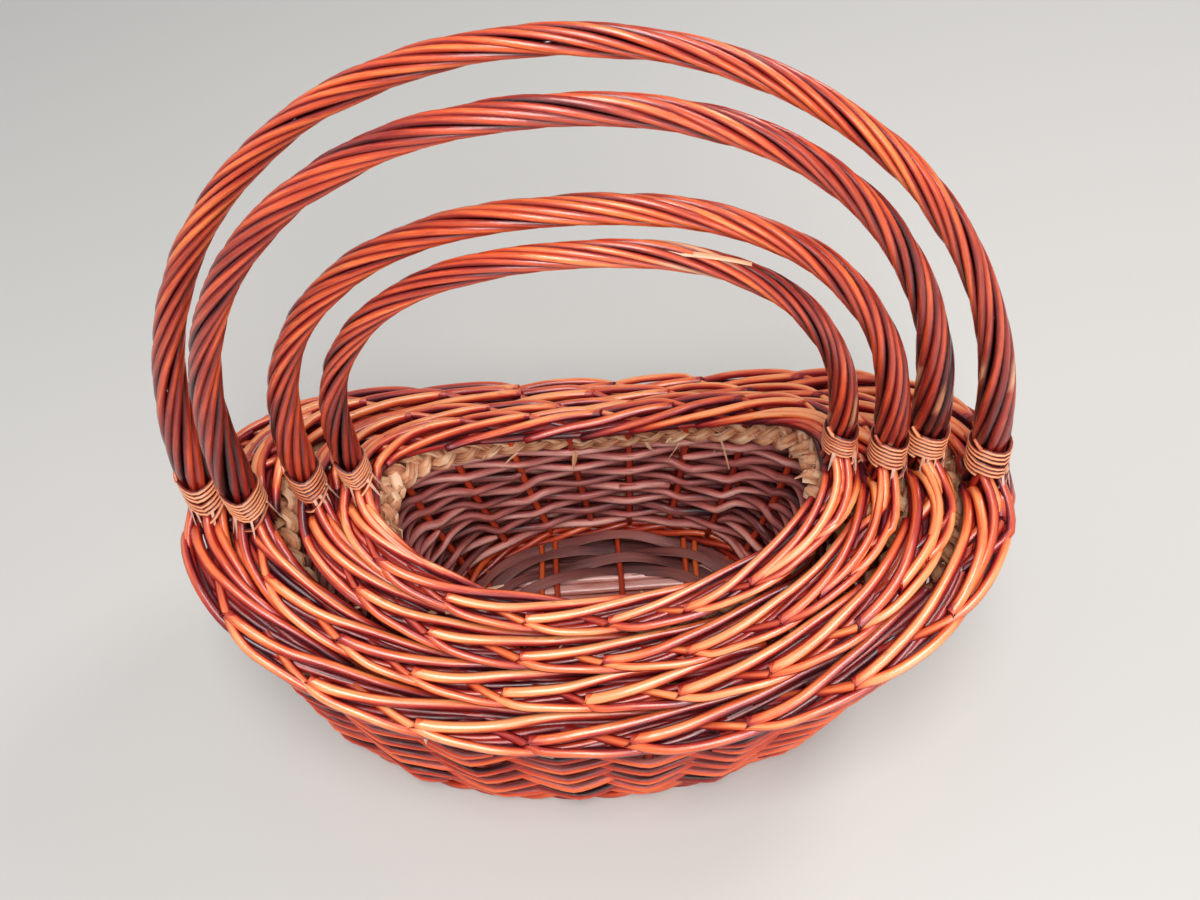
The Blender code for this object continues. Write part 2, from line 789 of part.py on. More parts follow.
def main():
    clear_scene()
    outer = Basket(
        name="outer",
        index=0,
        rim_length=RIM_HALF_LENGTH,
        rim_width=RIM_HALF_WIDTH,
        end_height=RIM_END_HEIGHT,
        side_height=RIM_SIDE_HEIGHT,
        foot_length=FOOT_HALF_LENGTH,
        foot_width=FOOT_HALF_WIDTH,
        foot_shift=Vector((FOOT_SHIFT_X, FOOT_SHIFT_Y, 0)),
        handle_rise=HANDLE_RISE,
        handle_inset=HANDLE_INSET,
        foot_radius=HANDLE_FOOT_RADIUS,
        top_radius=HANDLE_TOP_RADIUS,
        handle_turn=HANDLE_TURN,
        handle_lean=HANDLE_LEAN,
    )
    second = smaller(
        outer,
        "second",
        (SECOND_LENGTH_STEP, SECOND_WIDTH_STEP),
        (SECOND_END_RISE, SECOND_SIDE_RISE),
        (SECOND_FOOT_LENGTH_STEP, SECOND_FOOT_WIDTH_STEP),
        (SECOND_FOOT_SHIFT_X, SECOND_FOOT_SHIFT_Y),
        (
            SECOND_HANDLE_STEP,
            SECOND_HANDLE_INSET,
            SECOND_FOOT_RADIUS,
            SECOND_TOP_RADIUS,
            SECOND_HANDLE_TURN,
            SECOND_HANDLE_LEAN,
        ),
    )
    third = smaller(
        second,
        "third",
        (THIRD_LENGTH_STEP, THIRD_WIDTH_STEP),
        (THIRD_END_RISE, THIRD_SIDE_RISE),
        (THIRD_FOOT_LENGTH_STEP, THIRD_FOOT_WIDTH_STEP),
        (THIRD_FOOT_SHIFT_X, THIRD_FOOT_SHIFT_Y),
        (
            THIRD_HANDLE_STEP,
            THIRD_HANDLE_INSET,
            THIRD_FOOT_RADIUS,
            THIRD_TOP_RADIUS,
            THIRD_HANDLE_TURN,
            THIRD_HANDLE_LEAN,
        ),
    )
    inner = smaller(
        third,
        "inner",
        (INNER_LENGTH_STEP, INNER_WIDTH_STEP),
        (INNER_END_RISE, INNER_SIDE_RISE),
        (INNER_FOOT_LENGTH_STEP, INNER_FOOT_WIDTH_STEP),
        (INNER_FOOT_SHIFT_X, INNER_FOOT_SHIFT_Y),
        (
            INNER_HANDLE_STEP,
            INNER_HANDLE_INSET,
            INNER_FOOT_RADIUS,
            INNER_TOP_RADIUS,
            INNER_HANDLE_TURN,
            INNER_HANDLE_LEAN,
        ),
    )
    outer_stand = build_basket(outer, None, (0, 0), 0)
    second_stand = build_basket(second, outer_stand, (SECOND_MOVE_X, SECOND_MOVE_Y), SECOND_TURN)
    third_stand = build_basket(third, second_stand, (THIRD_MOVE_X, THIRD_MOVE_Y), THIRD_TURN)
    build_basket(inner, third_stand, (INNER_MOVE_X, INNER_MOVE_Y), INNER_TURN)
    bpy.context.view_layer.update()


main()
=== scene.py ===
import math

import bpy
import numpy as np
from mathutils import Matrix, Vector


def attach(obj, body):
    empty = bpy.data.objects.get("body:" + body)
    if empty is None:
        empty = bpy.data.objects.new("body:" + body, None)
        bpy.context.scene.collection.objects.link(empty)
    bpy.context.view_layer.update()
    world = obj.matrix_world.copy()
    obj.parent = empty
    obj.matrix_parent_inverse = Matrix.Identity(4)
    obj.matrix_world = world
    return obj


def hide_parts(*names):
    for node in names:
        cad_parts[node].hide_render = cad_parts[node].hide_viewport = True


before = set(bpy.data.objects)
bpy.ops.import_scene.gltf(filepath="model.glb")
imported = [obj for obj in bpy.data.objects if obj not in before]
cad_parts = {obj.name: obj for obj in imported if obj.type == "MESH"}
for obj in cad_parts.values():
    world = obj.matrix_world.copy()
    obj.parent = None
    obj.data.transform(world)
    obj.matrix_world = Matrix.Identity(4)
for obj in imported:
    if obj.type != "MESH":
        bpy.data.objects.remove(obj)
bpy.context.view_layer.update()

TAU = math.tau
UP = np.array([0.0, 0.0, 1.0])

# Sizes that the solids were made from
SEAT = 0.0003
FLOOR_TOP = 0.0102
FOOT_RISE = 0.024
OVAL_POWER = 2.28
FOOT_POWER = 2.18
BORDER_WIDTH = 0.027
BORDER_WIDTH_STEP = 0.002
BORDER_HEIGHT = 0.017
BORDER_HEIGHT_STEP = 0.0009
PLAIT_HEIGHT = 0.015
SIDE_THICKNESS = 0.0085
SIDE_INSET_SHARE = 0.62
BULGE_SHARE = 0.10
WALE_WIDTH = 0.012
WALE_HEIGHT = 0.0115

# Steps of the curves that the strands follow
BOW_STEPS = 720
OVAL_STEPS = 2880
FOOT_STEPS = 1440

# Sizes of the four baskets, from the outermost in. Angles are in degrees.
SIZES = dict(
    name=("outer", "second", "third", "inner"),
    # Half lengths and widths of the rim and of the foot, and heights of the rim's ends and sides
    rim_a=(0.250, 0.217, 0.180, 0.1545),
    rim_b=(0.140, 0.1195, 0.100, 0.082),
    end_z=(0.1900, 0.1825, 0.1760, 0.1755),
    side_z=(0.1170, 0.1225, 0.1240, 0.1295),
    foot_a=(0.190, 0.165, 0.136, 0.115),
    foot_b=(0.119, 0.1035, 0.085, 0.072),
    # How far the foot is shifted, and how far the basket is moved and turned in the one outside it
    shift=((-0.022, -0.010), (-0.011, -0.008), (-0.010, -0.004), (-0.005, -0.0025)),
    move=((0, 0), (-0.003, 0.001), (0.007, 0), (0.001, 0.0005)),
    yaw=(0, -2.2, 1.9, 3.1),
    # The handle: its rise, how far its feet stand in from the rim's ends, its radius at foot and top,
    # its turn and lean, the power of its arch, and how much darker it is painted: painted shade, and painted
    # light where the value is below 0
    rise=(0.272, 0.260, 0.194, 0.173),
    inset=(0.0165, 0.0145, 0.0085, 0.0125),
    foot_radius=(0.0105, 0.0105, 0.0092, 0.0080),
    top_radius=(0.0070, 0.0072, 0.0073, 0.0068),
    turn=(0.5, 5.7, 1.4, -1.2),
    lean=(7.5, 0.0, 1.8, -3.9),
    bow_power=(2.06, 2.17, 2.35, 2.37),
    shade=(-0.04, 0.09, 0, 0),
    # Where along it, as shares of its length, the bark is scraped off, and how far
    bare=(((0.93, 0.012),), ((0.92, 0.016),), ((0.97, 0.01),), ((0.63, 0.03), (0.93, 0.016))),
    # Stakes, where the first one is in spacings, and how far their feet lean along the side
    stakes=(20, 16, 16, 18),
    first_stake=(0.5, 0, 0, 0),
    stake_lean=(0.115, 0.05, 0.05, 0.05),
    # Courses of the side, how far its rods swing round the stakes, how far out their middle lies,
    # their radius and how far they rise and fall
    courses=(11, 15, 15, 11),
    swing=(0.0062, 0.0027, 0.0025, 0.0029),
    side_out=(0.0012, 0, 0, -0.0006),
    side_rod=(0.0029, 0.0026, 0.0026, 0.0031),
    zigzag=(0.0018, 0.0012, 0.0012, 0.0004),
    # How many of the border's rods of each kind there are, and where along it the first ones start
    stations=(19, 20, 17, 16),
    first_station=(0.0405, 0.007, 0.042, 0.0),
)
BASKETS = len(SIZES["name"])


def srgb(*levels):
    """A colour written as 0 to 255, as the linear values that shaders take."""
    shares = [level / 255 for level in levels]
    return tuple(c / 12.92 if c <= 0.04045 else ((c + 0.055) / 1.055) ** 2.4 for c in shares)


def unit(v):
    """Vectors at length 1."""
    return v / np.maximum(np.linalg.norm(v, axis=-1, keepdims=True), 1e-12)


def ease(t):
    """0 to 1 with a soft start and a soft end."""
    t = np.clip(t, 0, 1)
    return t * t * (3 - 2 * t)


def lengths_along(path):
    """The distance along a path to each of its points."""
    return np.concatenate([[0], np.cumsum(np.linalg.norm(np.diff(path, axis=0), axis=1))])


def with_ends(values):
    """A path's values with the first and the last one repeated, for the rings that close a rod."""
    return np.concatenate([values[:1], values, values[-1:]])


def smooth_path(keys, values, at):
    """Values along a path through keyed rows, smooth and without overshoot."""
    keys, values = np.asarray(keys, float), np.asarray(values, float)
    run = np.diff(keys)
    rise = np.diff(values, axis=0) / run[:, None]
    slope = np.zeros_like(values)
    slope[1:-1] = (rise[:-1] * run[1:, None] + rise[1:] * run[:-1, None]) / (run[1:] + run[:-1])[:, None]
    slope[0], slope[-1] = rise[0], rise[-1]
    i = np.clip(np.searchsorted(keys, at, side="right") - 1, 0, len(run) - 1)
    h = run[i]
    t = ((at - keys[i]) / h)[:, None]
    h = h[:, None]
    return (
        (2 * t**3 - 3 * t**2 + 1) * values[i]
        + (t**3 - 2 * t**2 + t) * h * slope[i]
        + (-2 * t**3 + 3 * t**2) * values[i + 1]
        + (t**3 - t**2) * h * slope[i + 1]
    )


def wander(rng, at, wave, size):
    """A slow random wobble along a path: what a hand-laid rod does."""
    out = np.zeros_like(at)
    for k in (1.0, 2.3):
        out += np.sin(at / wave * TAU * k + rng.uniform(0, TAU)) * size / k
    return out


def oval(angle, a, b, power):
    """Points of a level oval with these half lengths; a power of 2 makes it an ellipse."""
    c, s = np.cos(angle), np.sin(angle)
    x = np.sign(c) * np.abs(c) ** (2 / power) * a
    y = np.sign(s) * np.abs(s) ** (2 / power) * b
    return np.stack([x, y, 0 * c], -1)


def oval_normal(p, a, b, power):
    """The level way out of such an oval at points by it."""
    x = np.sign(p[..., 0]) * (np.abs(p[..., 0]) / a) ** (power - 1) / a
    y = np.sign(p[..., 1]) * (np.abs(p[..., 1]) / b) ** (power - 1) / b
    return unit(np.stack([x, y, 0 * x], -1))


class Basket:
    """One basket's curves, in its own frame, and the matrix that puts it in the set's frame."""

    def __init__(self, index, outside):
        for key, values in SIZES.items():
            setattr(self, key, values[index])
        self.body = self.name + "_basket"
        self.innermost = index == BASKETS - 1
        self.side_shows = index == 0 or self.innermost
        self.shift = np.array([*self.shift, 0.0])
        self.width = BORDER_WIDTH - index * BORDER_WIDTH_STEP
        self.height = BORDER_HEIGHT - index * BORDER_HEIGHT_STEP
        self.wide, self.tall = self.width / BORDER_WIDTH, self.height / BORDER_HEIGHT
        self.top_a, self.top_b = self.rim_a - self.width / 2, self.rim_b - self.width / 2
        self.low_a, self.low_b = self.foot_a - SIDE_THICKNESS / 2, self.foot_b - SIDE_THICKNESS / 2
        lift = FLOOR_TOP + SEAT if outside else 0
        own = Matrix.Translation((*self.move, lift)) @ Matrix.Rotation(math.radians(self.yaw), 4, "Z")
        self.matrix = outside.matrix @ own if outside else own
        self.rim_angles = np.linspace(0, TAU, OVAL_STEPS + 1)
        self.rim_lengths = lengths_along(oval(self.rim_angles, self.top_a, self.top_b, OVAL_POWER))
        self.perimeter = self.rim_lengths[-1]
        # The bow of the handle
        self.span = self.rim_a - self.inset
        self.bow_foot = self.end_z + FOOT_RISE
        self.slope = math.tan(math.radians(self.lean))
        c, s = math.cos(math.radians(self.turn)), math.sin(math.radians(self.turn))
        self.across = np.array([[c, -s, 0], [s, c, 0], [0, 0, 1]])
        self.foot_along = self.span * s
        angle = math.pi * np.arange(BOW_STEPS + 1) / BOW_STEPS
        arch = oval(angle, self.span, self.rise, self.bow_power)
        self.arch = np.stack([-arch[:, 0], arch[:, 1]], 1)
        self.arch_lengths = lengths_along(self.arch)
        self.length = self.arch_lengths[-1]

    def angle(self, s):
        """The oval's angle at a distance along the rim, from the +X end round by the back."""
        return np.interp(np.mod(s, self.perimeter), self.rim_lengths, self.rim_angles)

    def rim_height(self, angle):
        """The height of the border's middle line: high at the ends, low at the sides."""
        return self.side_z + (self.end_z - self.side_z) * oval(angle, 1, 1, OVAL_POWER)[..., 0] ** 2

    def rim(self, s, out, up):
        """A point by the border's middle line, so far out of it and above it."""
        angle = self.angle(s)
        p = oval(angle, self.top_a, self.top_b, OVAL_POWER)
        p = p + self.outward(p) * np.asarray(out)[..., None]
        p[..., 2] = self.rim_height(angle) + up
        return p

    def outward(self, p):
        """The level way out of the border at points by it."""
        return oval_normal(p, self.top_a, self.top_b, OVAL_POWER)

    def wall(self, angle, share, height, out):
        """A point by the middle of the side, at a share of its height, and the way out of the side."""
        share = np.asarray(share, float) + 0 * angle
        top = oval(angle, self.top_a, self.top_b, OVAL_POWER)
        top_out = self.outward(top)
        top = top - top_out * self.width * (SIDE_INSET_SHARE - 0.5)
        low = oval(angle - self.stake_lean * np.sin(angle), self.low_a, self.low_b, FOOT_POWER)
        low_out = oval_normal(low, self.low_a, self.low_b, FOOT_POWER)
        low = low + self.shift
        lean = (share + BULGE_SHARE * np.sin(math.pi * np.clip(share, 0, 1)))[..., None]
        normal = unit(low_out * (1 - share[..., None]) + top_out * share[..., None])
        p = low * (1 - lean) + top * lean + normal * np.asarray(out)[..., None]
        p[..., 2] = height
        return p, normal

    def side_span(self, angle):
        """Heights between which the side is woven."""
        low = WALE_HEIGHT + SEAT
        return low, self.rim_height(angle) - self.height / 2 - PLAIT_HEIGHT - 2 * SEAT

    def foot(self, angle, inward, height):
        """A point so far inside the foot's outline, at a height."""
        p = oval(angle, self.foot_a, self.foot_b, FOOT_POWER)
        p = p - oval_normal(p, self.foot_a, self.foot_b, FOOT_POWER) * np.asarray(inward)[..., None]
        p = p + self.shift
        p[..., 2] = height
        return p

    def on_arch(self, d):
        """The arch's run and rise at distances along it, before it leans and turns."""
        return np.stack([np.interp(d, self.arch_lengths, self.arch[:, i]) for i in (0, 1)], -1)

    def bow(self, d):
        """Points of the handle's middle line, its front and side directions, and the share of its rise.

        Distances below 0 and past its length run straight down from its feet."""
        d = np.asarray(d, float)
        inside = np.clip(d, 0, self.length)
        x, z = self.on_arch(inside).T
        step = self.length / BOW_STEPS * 2
        run = self.on_arch(np.clip(inside + step, 0, self.length)) - self.on_arch(
            np.clip(inside - step, 0, self.length))
        before, after = d < 0, d > self.length
        run[before] = (0, 1)
        run[after] = (0, -1)
        drop = np.where(before, d, np.where(after, self.length - d, 0))
        slope = np.where(before | after, 0, self.slope)
        p = np.stack([x, (z + drop) * self.slope, z + drop], -1) @ self.across.T
        p[..., 2] += self.bow_foot
        tangent = unit(np.stack([run[:, 0], run[:, 1] * slope, run[:, 1]], -1) @ self.across.T)
        front = unit(np.stack([0 * x, -1 + 0 * x, slope], -1) @ self.across.T)
        return p, front, np.cross(tangent, front), np.clip(z / self.rise, 0, 1)


# How much a slanted cut leans sideways too, and how far a rounded end stands out, in radii
CUT_SKEW = 0.8
ROUND_REACH = 0.6
# How far a rod's cut end reaches into its own grain pattern, along it and round it
CAP_LENGTH = 0.002
CAP_SPREAD = 0.3
SHARP_ANGLE = math.radians(66)


class Strands:
    """Gathers rods and blades into one piece, with the values its material reads."""

    def __init__(self):
        self.verts, self.faces, self.uvs = [], [], []
        self.rod, self.deep, self.inner = [], [], []
        self.count = 0

    def add(self, rings, along, tone, deep, inner):
        """Skin over rings of points (n, m, 3), closed at both ends."""
        n, m, _ = rings.shape
        base = self.count
        self.verts.append(rings.reshape(-1, 3))
        self.count += n * m
        for store, value in ((self.rod, tone), (self.deep, deep), (self.inner, inner)):
            store.append(np.broadcast_to(np.asarray(value, float), (n, m)).reshape(-1))
        i, j = np.meshgrid(np.arange(n - 1), np.arange(m), indexing="ij")
        ring, after = base + i * m, base + (i + 1) * m
        k = (j + 1) % m
        quads = np.stack([ring + j, ring + k, after + k, after + j], -1)
        self.faces.extend(quads.reshape(-1, 4).tolist())
        u0, u1 = along[i], along[i + 1]
        v0, v1 = j / m, (j + 1) / m
        corners = [np.stack(corner, -1) for corner in ((u0, v0), (u0, v1), (u1, v1), (u1, v0))]
        self.uvs.append(np.stack(corners, -2).reshape(-1, 2))
        turn = TAU * np.arange(m) / m
        cap = np.stack([CAP_LENGTH * np.cos(turn), 0.5 + CAP_SPREAD * np.sin(turn)], -1)
        last = base + (n - 1) * m
        self.faces.append(list(range(base, base + m))[::-1])
        self.uvs.append(cap[::-1] + [along[0], 0])
        self.faces.append(list(range(last, last + m)))
        self.uvs.append(cap + [along[-1], 0])

    def rod_along(self, path, radius, sides, up, flat=1.0, tone=0.5, deep=0.0, inner=0.0, slant=0.0,
                  rounded=(0.35, 0.35), shape=1.0, out=None):
        """A round or flattened rod along a path, with up as the direction of its thickness.

        slant cuts its first end aslant, rounded eases the edges of both ends and shape swells its
        sides. deep and inner are a value, one for each point of the path, or a function of the share
        by which each point of the rod faces out."""
        path = np.asarray(path, float)
        radius = np.broadcast_to(np.asarray(radius, float), (len(path),))
        tangent = unit(np.gradient(path, axis=0))
        up = np.broadcast_to(up, path.shape)
        up = unit(up - tangent * (up * tangent).sum(1, keepdims=True))
        side = np.cross(tangent, up)
        turn = TAU * (np.arange(sides) + 0.5) / sides
        a, b = np.cos(turn) * shape, np.sin(turn) * shape
        rings = (path[:, None] + up[:, None] * (a[:, None] * (radius * flat)[:, None, None])
                 + side[:, None] * (b[:, None] * radius[:, None, None]))
        closing = []
        for end, back, cut in ((0, -1, slant), (-1, 1, 0.0)):
            edge = (np.outer(a, up[end] * radius[end] * flat) + np.outer(b, side[end] * radius[end])
                    + np.outer(a - CUT_SKEW * b, tangent[end] * (radius[end] * cut)))
            rings[end] = path[end] + edge
            reach = tangent[end] * back * radius[end] * rounded[end] * ROUND_REACH
            closing.append(path[end] + edge * (1 - rounded[end]) + reach)
        rings = np.concatenate([closing[0][None], rings, closing[1][None]])
        along = lengths_along(path)
        along = np.concatenate([[-radius[0]], along, [along[-1] + radius[-1]]])
        facing = None
        if out is not None:
            out = np.broadcast_to(out, path.shape)
            facing = with_ends((up * out).sum(1)[:, None] * a + (side * out).sum(1)[:, None] * b)

        def everywhere(value):
            if callable(value):
                return value(facing)
            return with_ends(value)[:, None] if np.ndim(value) == 1 else value

        self.add(rings, along, tone, everywhere(deep), everywhere(inner))

    def piece(self, name, basket, material, slot, *nodes):
        """Turn what was gathered into a piece that rides on its basket and stands for these nodes."""
        mesh = bpy.data.meshes.new(name)
        matrix = np.array(basket.matrix)
        verts = np.concatenate(self.verts) @ matrix[:3, :3].T + matrix[:3, 3]
        mesh.from_pydata(verts.tolist(), [], self.faces)
        layer = mesh.uv_layers.new(name="Lay")
        layer.data.foreach_set("uv", np.concatenate(self.uvs).astype(np.float32).reshape(-1))
        for label, store in (("rod", self.rod), ("deep", self.deep), ("inner", self.inner)):
            values = np.concatenate(store).astype(np.float32)
            mesh.attributes.new(label, "FLOAT", "POINT").data.foreach_set("value", values)
        mesh.shade_smooth()
        mesh.set_sharp_from_angle(angle=SHARP_ANGLE)
        mesh.materials.append(material)
        obj = bpy.data.objects.new(name, mesh)
        bpy.context.scene.collection.objects.link(obj)
        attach(obj, basket.body)
        if nodes:
            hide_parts(*[basket.name + "_" + node for node in nodes])


class Nodes:
    """Short hands for building a material's node tree."""

    def __init__(self, name):
        self.material = bpy.data.materials.new(name)
        self.material.use_nodes = True
        self.tree = self.material.node_tree
        self.shader = self.tree.nodes["Principled BSDF"]

    def link(self, source, target):
        self.tree.links.new(source, target)

    def set(self, socket, value):
        if isinstance(value, bpy.types.NodeSocket):
            self.link(value, socket)
        else:
            socket.default_value = value

    def math(self, kind, a, b=0.0, clamp=False):
        node = self.tree.nodes.new("ShaderNodeMath")
        node.operation = kind
        node.use_clamp = clamp
        self.set(node.inputs[0], a)
        self.set(node.inputs[1], b)
        return node.outputs[0]

    def add(self, a, b, clamp=False):
        return self.math("ADD", a, b, clamp)

    def times(self, a, b, clamp=False):
        return self.math("MULTIPLY", a, b, clamp)

    def about(self, value, middle, strength):
        """How far a value is from its middle, at some strength."""
        return self.times(self.math("SUBTRACT", value, middle), strength)

    def value(self, name):
        """A value that the mesh holds."""
        node = self.tree.nodes.new("ShaderNodeAttribute")
        node.attribute_name = name
        return node.outputs["Fac"]

    def lay(self, along, around, seed):
        """Coordinates that run along and around each rod, different on every rod."""
        uv = self.tree.nodes.new("ShaderNodeUVMap")
        uv.uv_map = "Lay"
        parts = self.tree.nodes.new("ShaderNodeSeparateXYZ")
        self.link(uv.outputs[0], parts.inputs[0])
        turn = self.times(parts.outputs[1], TAU)
        joined = self.tree.nodes.new("ShaderNodeCombineXYZ")
        spin = self.times(self.value("rod"), seed)
        self.link(self.add(self.times(parts.outputs[0], along), spin), joined.inputs[0])
        self.link(self.times(self.math("COSINE", turn), around), joined.inputs[1])
        self.link(self.times(self.math("SINE", turn), around), joined.inputs[2])
        return joined.outputs[0]

    def noise(self, vector, detail, rough):
        node = self.tree.nodes.new("ShaderNodeTexNoise")
        node.inputs["Scale"].default_value = 1.0
        node.inputs["Detail"].default_value = detail
        node.inputs["Roughness"].default_value = rough
        self.link(vector, node.inputs["Vector"])
        return node.outputs["Fac"]

    def ramp(self, fac, *stops):
        node = self.tree.nodes.new("ShaderNodeValToRGB")
        self.link(fac, node.inputs[0])
        points = node.color_ramp.elements
        while len(points) < len(stops):
            points.new(0.5)
        for point, (at, colour) in zip(points, stops):
            point.position = at
            point.color = (*colour, 1)
        return node.outputs[0]

    def spread(self, fac, low, high, to_low=0.0, to_high=1.0):
        node = self.tree.nodes.new("ShaderNodeMapRange")
        for socket, value in zip(node.inputs[:5], (fac, low, high, to_low, to_high)):
            self.set(socket, value)
        return node.outputs[0]

    def mix(self, fac, a, b):
        node = self.tree.nodes.new("ShaderNodeMix")
        node.data_type = "RGBA"
        self.set(node.inputs[0], fac)
        for socket, value in ((node.inputs[6], a), (node.inputs[7], b)):
            self.set(socket, value if isinstance(value, bpy.types.NodeSocket) else (*value, 1))
        return node.outputs[2]

    def bump(self, height, strength, distance):
        node = self.tree.nodes.new("ShaderNodeBump")
        node.inputs["Strength"].default_value = strength
        node.inputs["Distance"].default_value = distance
        self.link(height, node.inputs["Height"])
        self.link(node.outputs[0], self.shader.inputs["Normal"])


def rod_material(name, pale, bright, mid, dark, inside=None, gloss=(0.22, 0.42), coat=0.35,
                 speck=0.5, inside_gloss=0.0, specular=0.5, vary=0.5):
    """Stained and lacquered willow: bright where it stands proud and darker where the mesh's deep value is
    high, which is painted shade together with the stain that gathers in its grooves.

    inside is the pale, middle and dark colour where the mesh's inner value is 1."""
    n = Nodes(name)
    deep, rod = n.value("deep"), n.value("rod")
    patch = n.noise(n.lay(along=22, around=0.5, seed=91), detail=3, rough=0.55)
    streak = n.noise(n.lay(along=55, around=3.2, seed=37), detail=4, rough=0.6)
    fine = n.noise(n.lay(along=260, around=14, seed=53), detail=2, rough=0.5)
    knots = n.noise(n.lay(along=95, around=2.6, seed=71), detail=1, rough=0.4)
    tone = n.add(n.about(patch, 0.5, 0.9), n.about(streak, 0.5, 0.5))
    tone = n.add(tone, n.about(rod, 0.45, vary))
    # deep, mostly painted shade, darkens the colour from pale to dark
    colour = n.ramp(n.add(deep, tone, clamp=True), (0.0, pale), (0.22, bright), (0.55, mid), (1.0, dark))
    if inside is not None:
        patchy = n.add(n.times(tone, 1.3), 0.22)
        shade = n.add(n.times(deep, 0.55), patchy, clamp=True)
        dull = n.ramp(shade, (0.0, inside[0]), (0.45, inside[1]), (1.0, inside[2]))
        colour = n.mix(n.value("inner"), colour, dull)
    spots = n.times(n.spread(knots, 0.70, 0.78), speck, clamp=True)
    colour = n.mix(spots, colour, tuple(c * 0.35 for c in dark))
    n.link(colour, n.shader.inputs["Base Color"])
    shine = n.add(n.spread(streak, 0.3, 0.7, *gloss), n.times(n.value("inner"), inside_gloss))
    n.link(shine, n.shader.inputs["Roughness"])
    n.link(n.spread(deep, 0.25, 0.95, coat, coat * 0.12), n.shader.inputs["Coat Weight"])
    n.shader.inputs["Coat Roughness"].default_value = 0.2
    n.shader.inputs["Specular IOR Level"].default_value = specular
    n.bump(n.add(n.times(streak, 0.7), n.times(fine, 0.3)), 0.5, 0.0006)
    return n.material


def husk_material(name):
    """Dry maize husk: matte, straw to brown, ribbed along its length."""
    n = Nodes(name)
    ribs = n.noise(n.lay(along=18, around=9, seed=47), detail=3, rough=0.6)
    patch = n.noise(n.lay(along=35, around=0.8, seed=83), detail=3, rough=0.55)
    tone = n.add(n.times(patch, 0.62), n.times(ribs, 0.30))
    tone = n.add(tone, n.about(n.value("rod"), 0.5, 0.30))
    # The mesh's deep value darkens it: painted shade where a strand lies under the others
    tone = n.add(tone, n.times(n.value("deep"), 0.42), clamp=True)
    colour = n.ramp(tone, (0.30, srgb(255, 216, 180)), (0.50, srgb(228, 160, 116)),
                    (0.68, srgb(180, 104, 72)), (0.96, srgb(88, 42, 32)))
    n.link(colour, n.shader.inputs["Base Color"])
    n.link(n.spread(ribs, 0.3, 0.7, 0.55, 0.8), n.shader.inputs["Roughness"])
    n.bump(ribs, 0.9, 0.0009)
    return n.material


def ribbon_material(name, pale, mid, dark, rough):
    """Flat split ribbon with fine lengthways grain."""
    n = Nodes(name)
    grain = n.noise(n.lay(along=12, around=11, seed=29), detail=4, rough=0.6)
    patch = n.noise(n.lay(along=30, around=0.7, seed=61), detail=2, rough=0.5)
    tone = n.add(n.times(grain, 0.5), n.times(patch, 0.5))
    tone = n.add(tone, n.about(n.value("rod"), 0.5, 0.25))
    # The mesh's deep value darkens it: painted shade where the ribbon goes under the sticks
    tone = n.add(tone, n.times(n.value("deep"), 0.4), clamp=True)
    n.link(n.ramp(tone, (0.25, pale), (0.5, mid), (0.85, dark)), n.shader.inputs["Base Color"])
    n.link(n.spread(grain, 0.3, 0.7, *rough), n.shader.inputs["Roughness"])
    n.bump(grain, 0.6, 0.0005)
    return n.material


WILLOW = rod_material("lacquered_willow", pale=srgb(255, 162, 102), bright=srgb(240, 110, 54),
                      mid=srgb(178, 40, 32), dark=srgb(70, 10, 22), gloss=(0.26, 0.42), coat=1.0)
HANDLE = rod_material("dark_lacquered_willow", pale=srgb(250, 134, 66), bright=srgb(222, 82, 36),
                      mid=srgb(146, 30, 22), dark=srgb(34, 4, 8), gloss=(0.24, 0.4), coat=0.9, vary=0.26,
                      inside=(srgb(240, 206, 172), srgb(222, 160, 118), srgb(150, 70, 48)))
SIDE = rod_material("woven_willow", pale=srgb(246, 108, 44), bright=srgb(222, 68, 28),
                    mid=srgb(150, 28, 16), dark=srgb(40, 8, 10), coat=0.12, specular=0.3,
                    inside=(srgb(248, 192, 178), srgb(192, 114, 108), srgb(48, 22, 30)), inside_gloss=0.04)
STAKE = rod_material("stakes", pale=srgb(226, 92, 40), bright=srgb(196, 62, 28), mid=srgb(146, 36, 22),
                     dark=srgb(62, 14, 16))
CANE = rod_material("split_cane", pale=srgb(252, 180, 130), bright=srgb(226, 116, 70),
                    mid=srgb(158, 58, 34), dark=srgb(76, 20, 12), gloss=(0.22, 0.36), speck=0.15, coat=0.8)
PLANK = rod_material("base_sticks", pale=srgb(240, 180, 168), bright=srgb(214, 132, 116),
                     mid=srgb(156, 74, 66), dark=srgb(74, 28, 30), gloss=(0.24, 0.4), coat=0.6,
                     inside=(srgb(232, 106, 48), srgb(200, 68, 36), srgb(110, 30, 22)))
HUSK = husk_material("dry_husk")
RIBBON = ribbon_material("floor_ribbon", srgb(196, 122, 110), srgb(156, 92, 84), srgb(86, 44, 44),
                         rough=(0.35, 0.6))
SLIVER = ribbon_material("peeled_slivers", srgb(250, 222, 206), srgb(234, 180, 156), srgb(180, 104, 84),
                         rough=(0.35, 0.5))


def rod_stain_and_shade(facing):
    """How dark a rod is painted round its girth: none where it faces out, most where it turns under. This is
    painted shade, together with the stain that gathers in the grooves.
    """
    return np.clip((0.93 - facing) / 0.8, 0, 1) ** 1.15
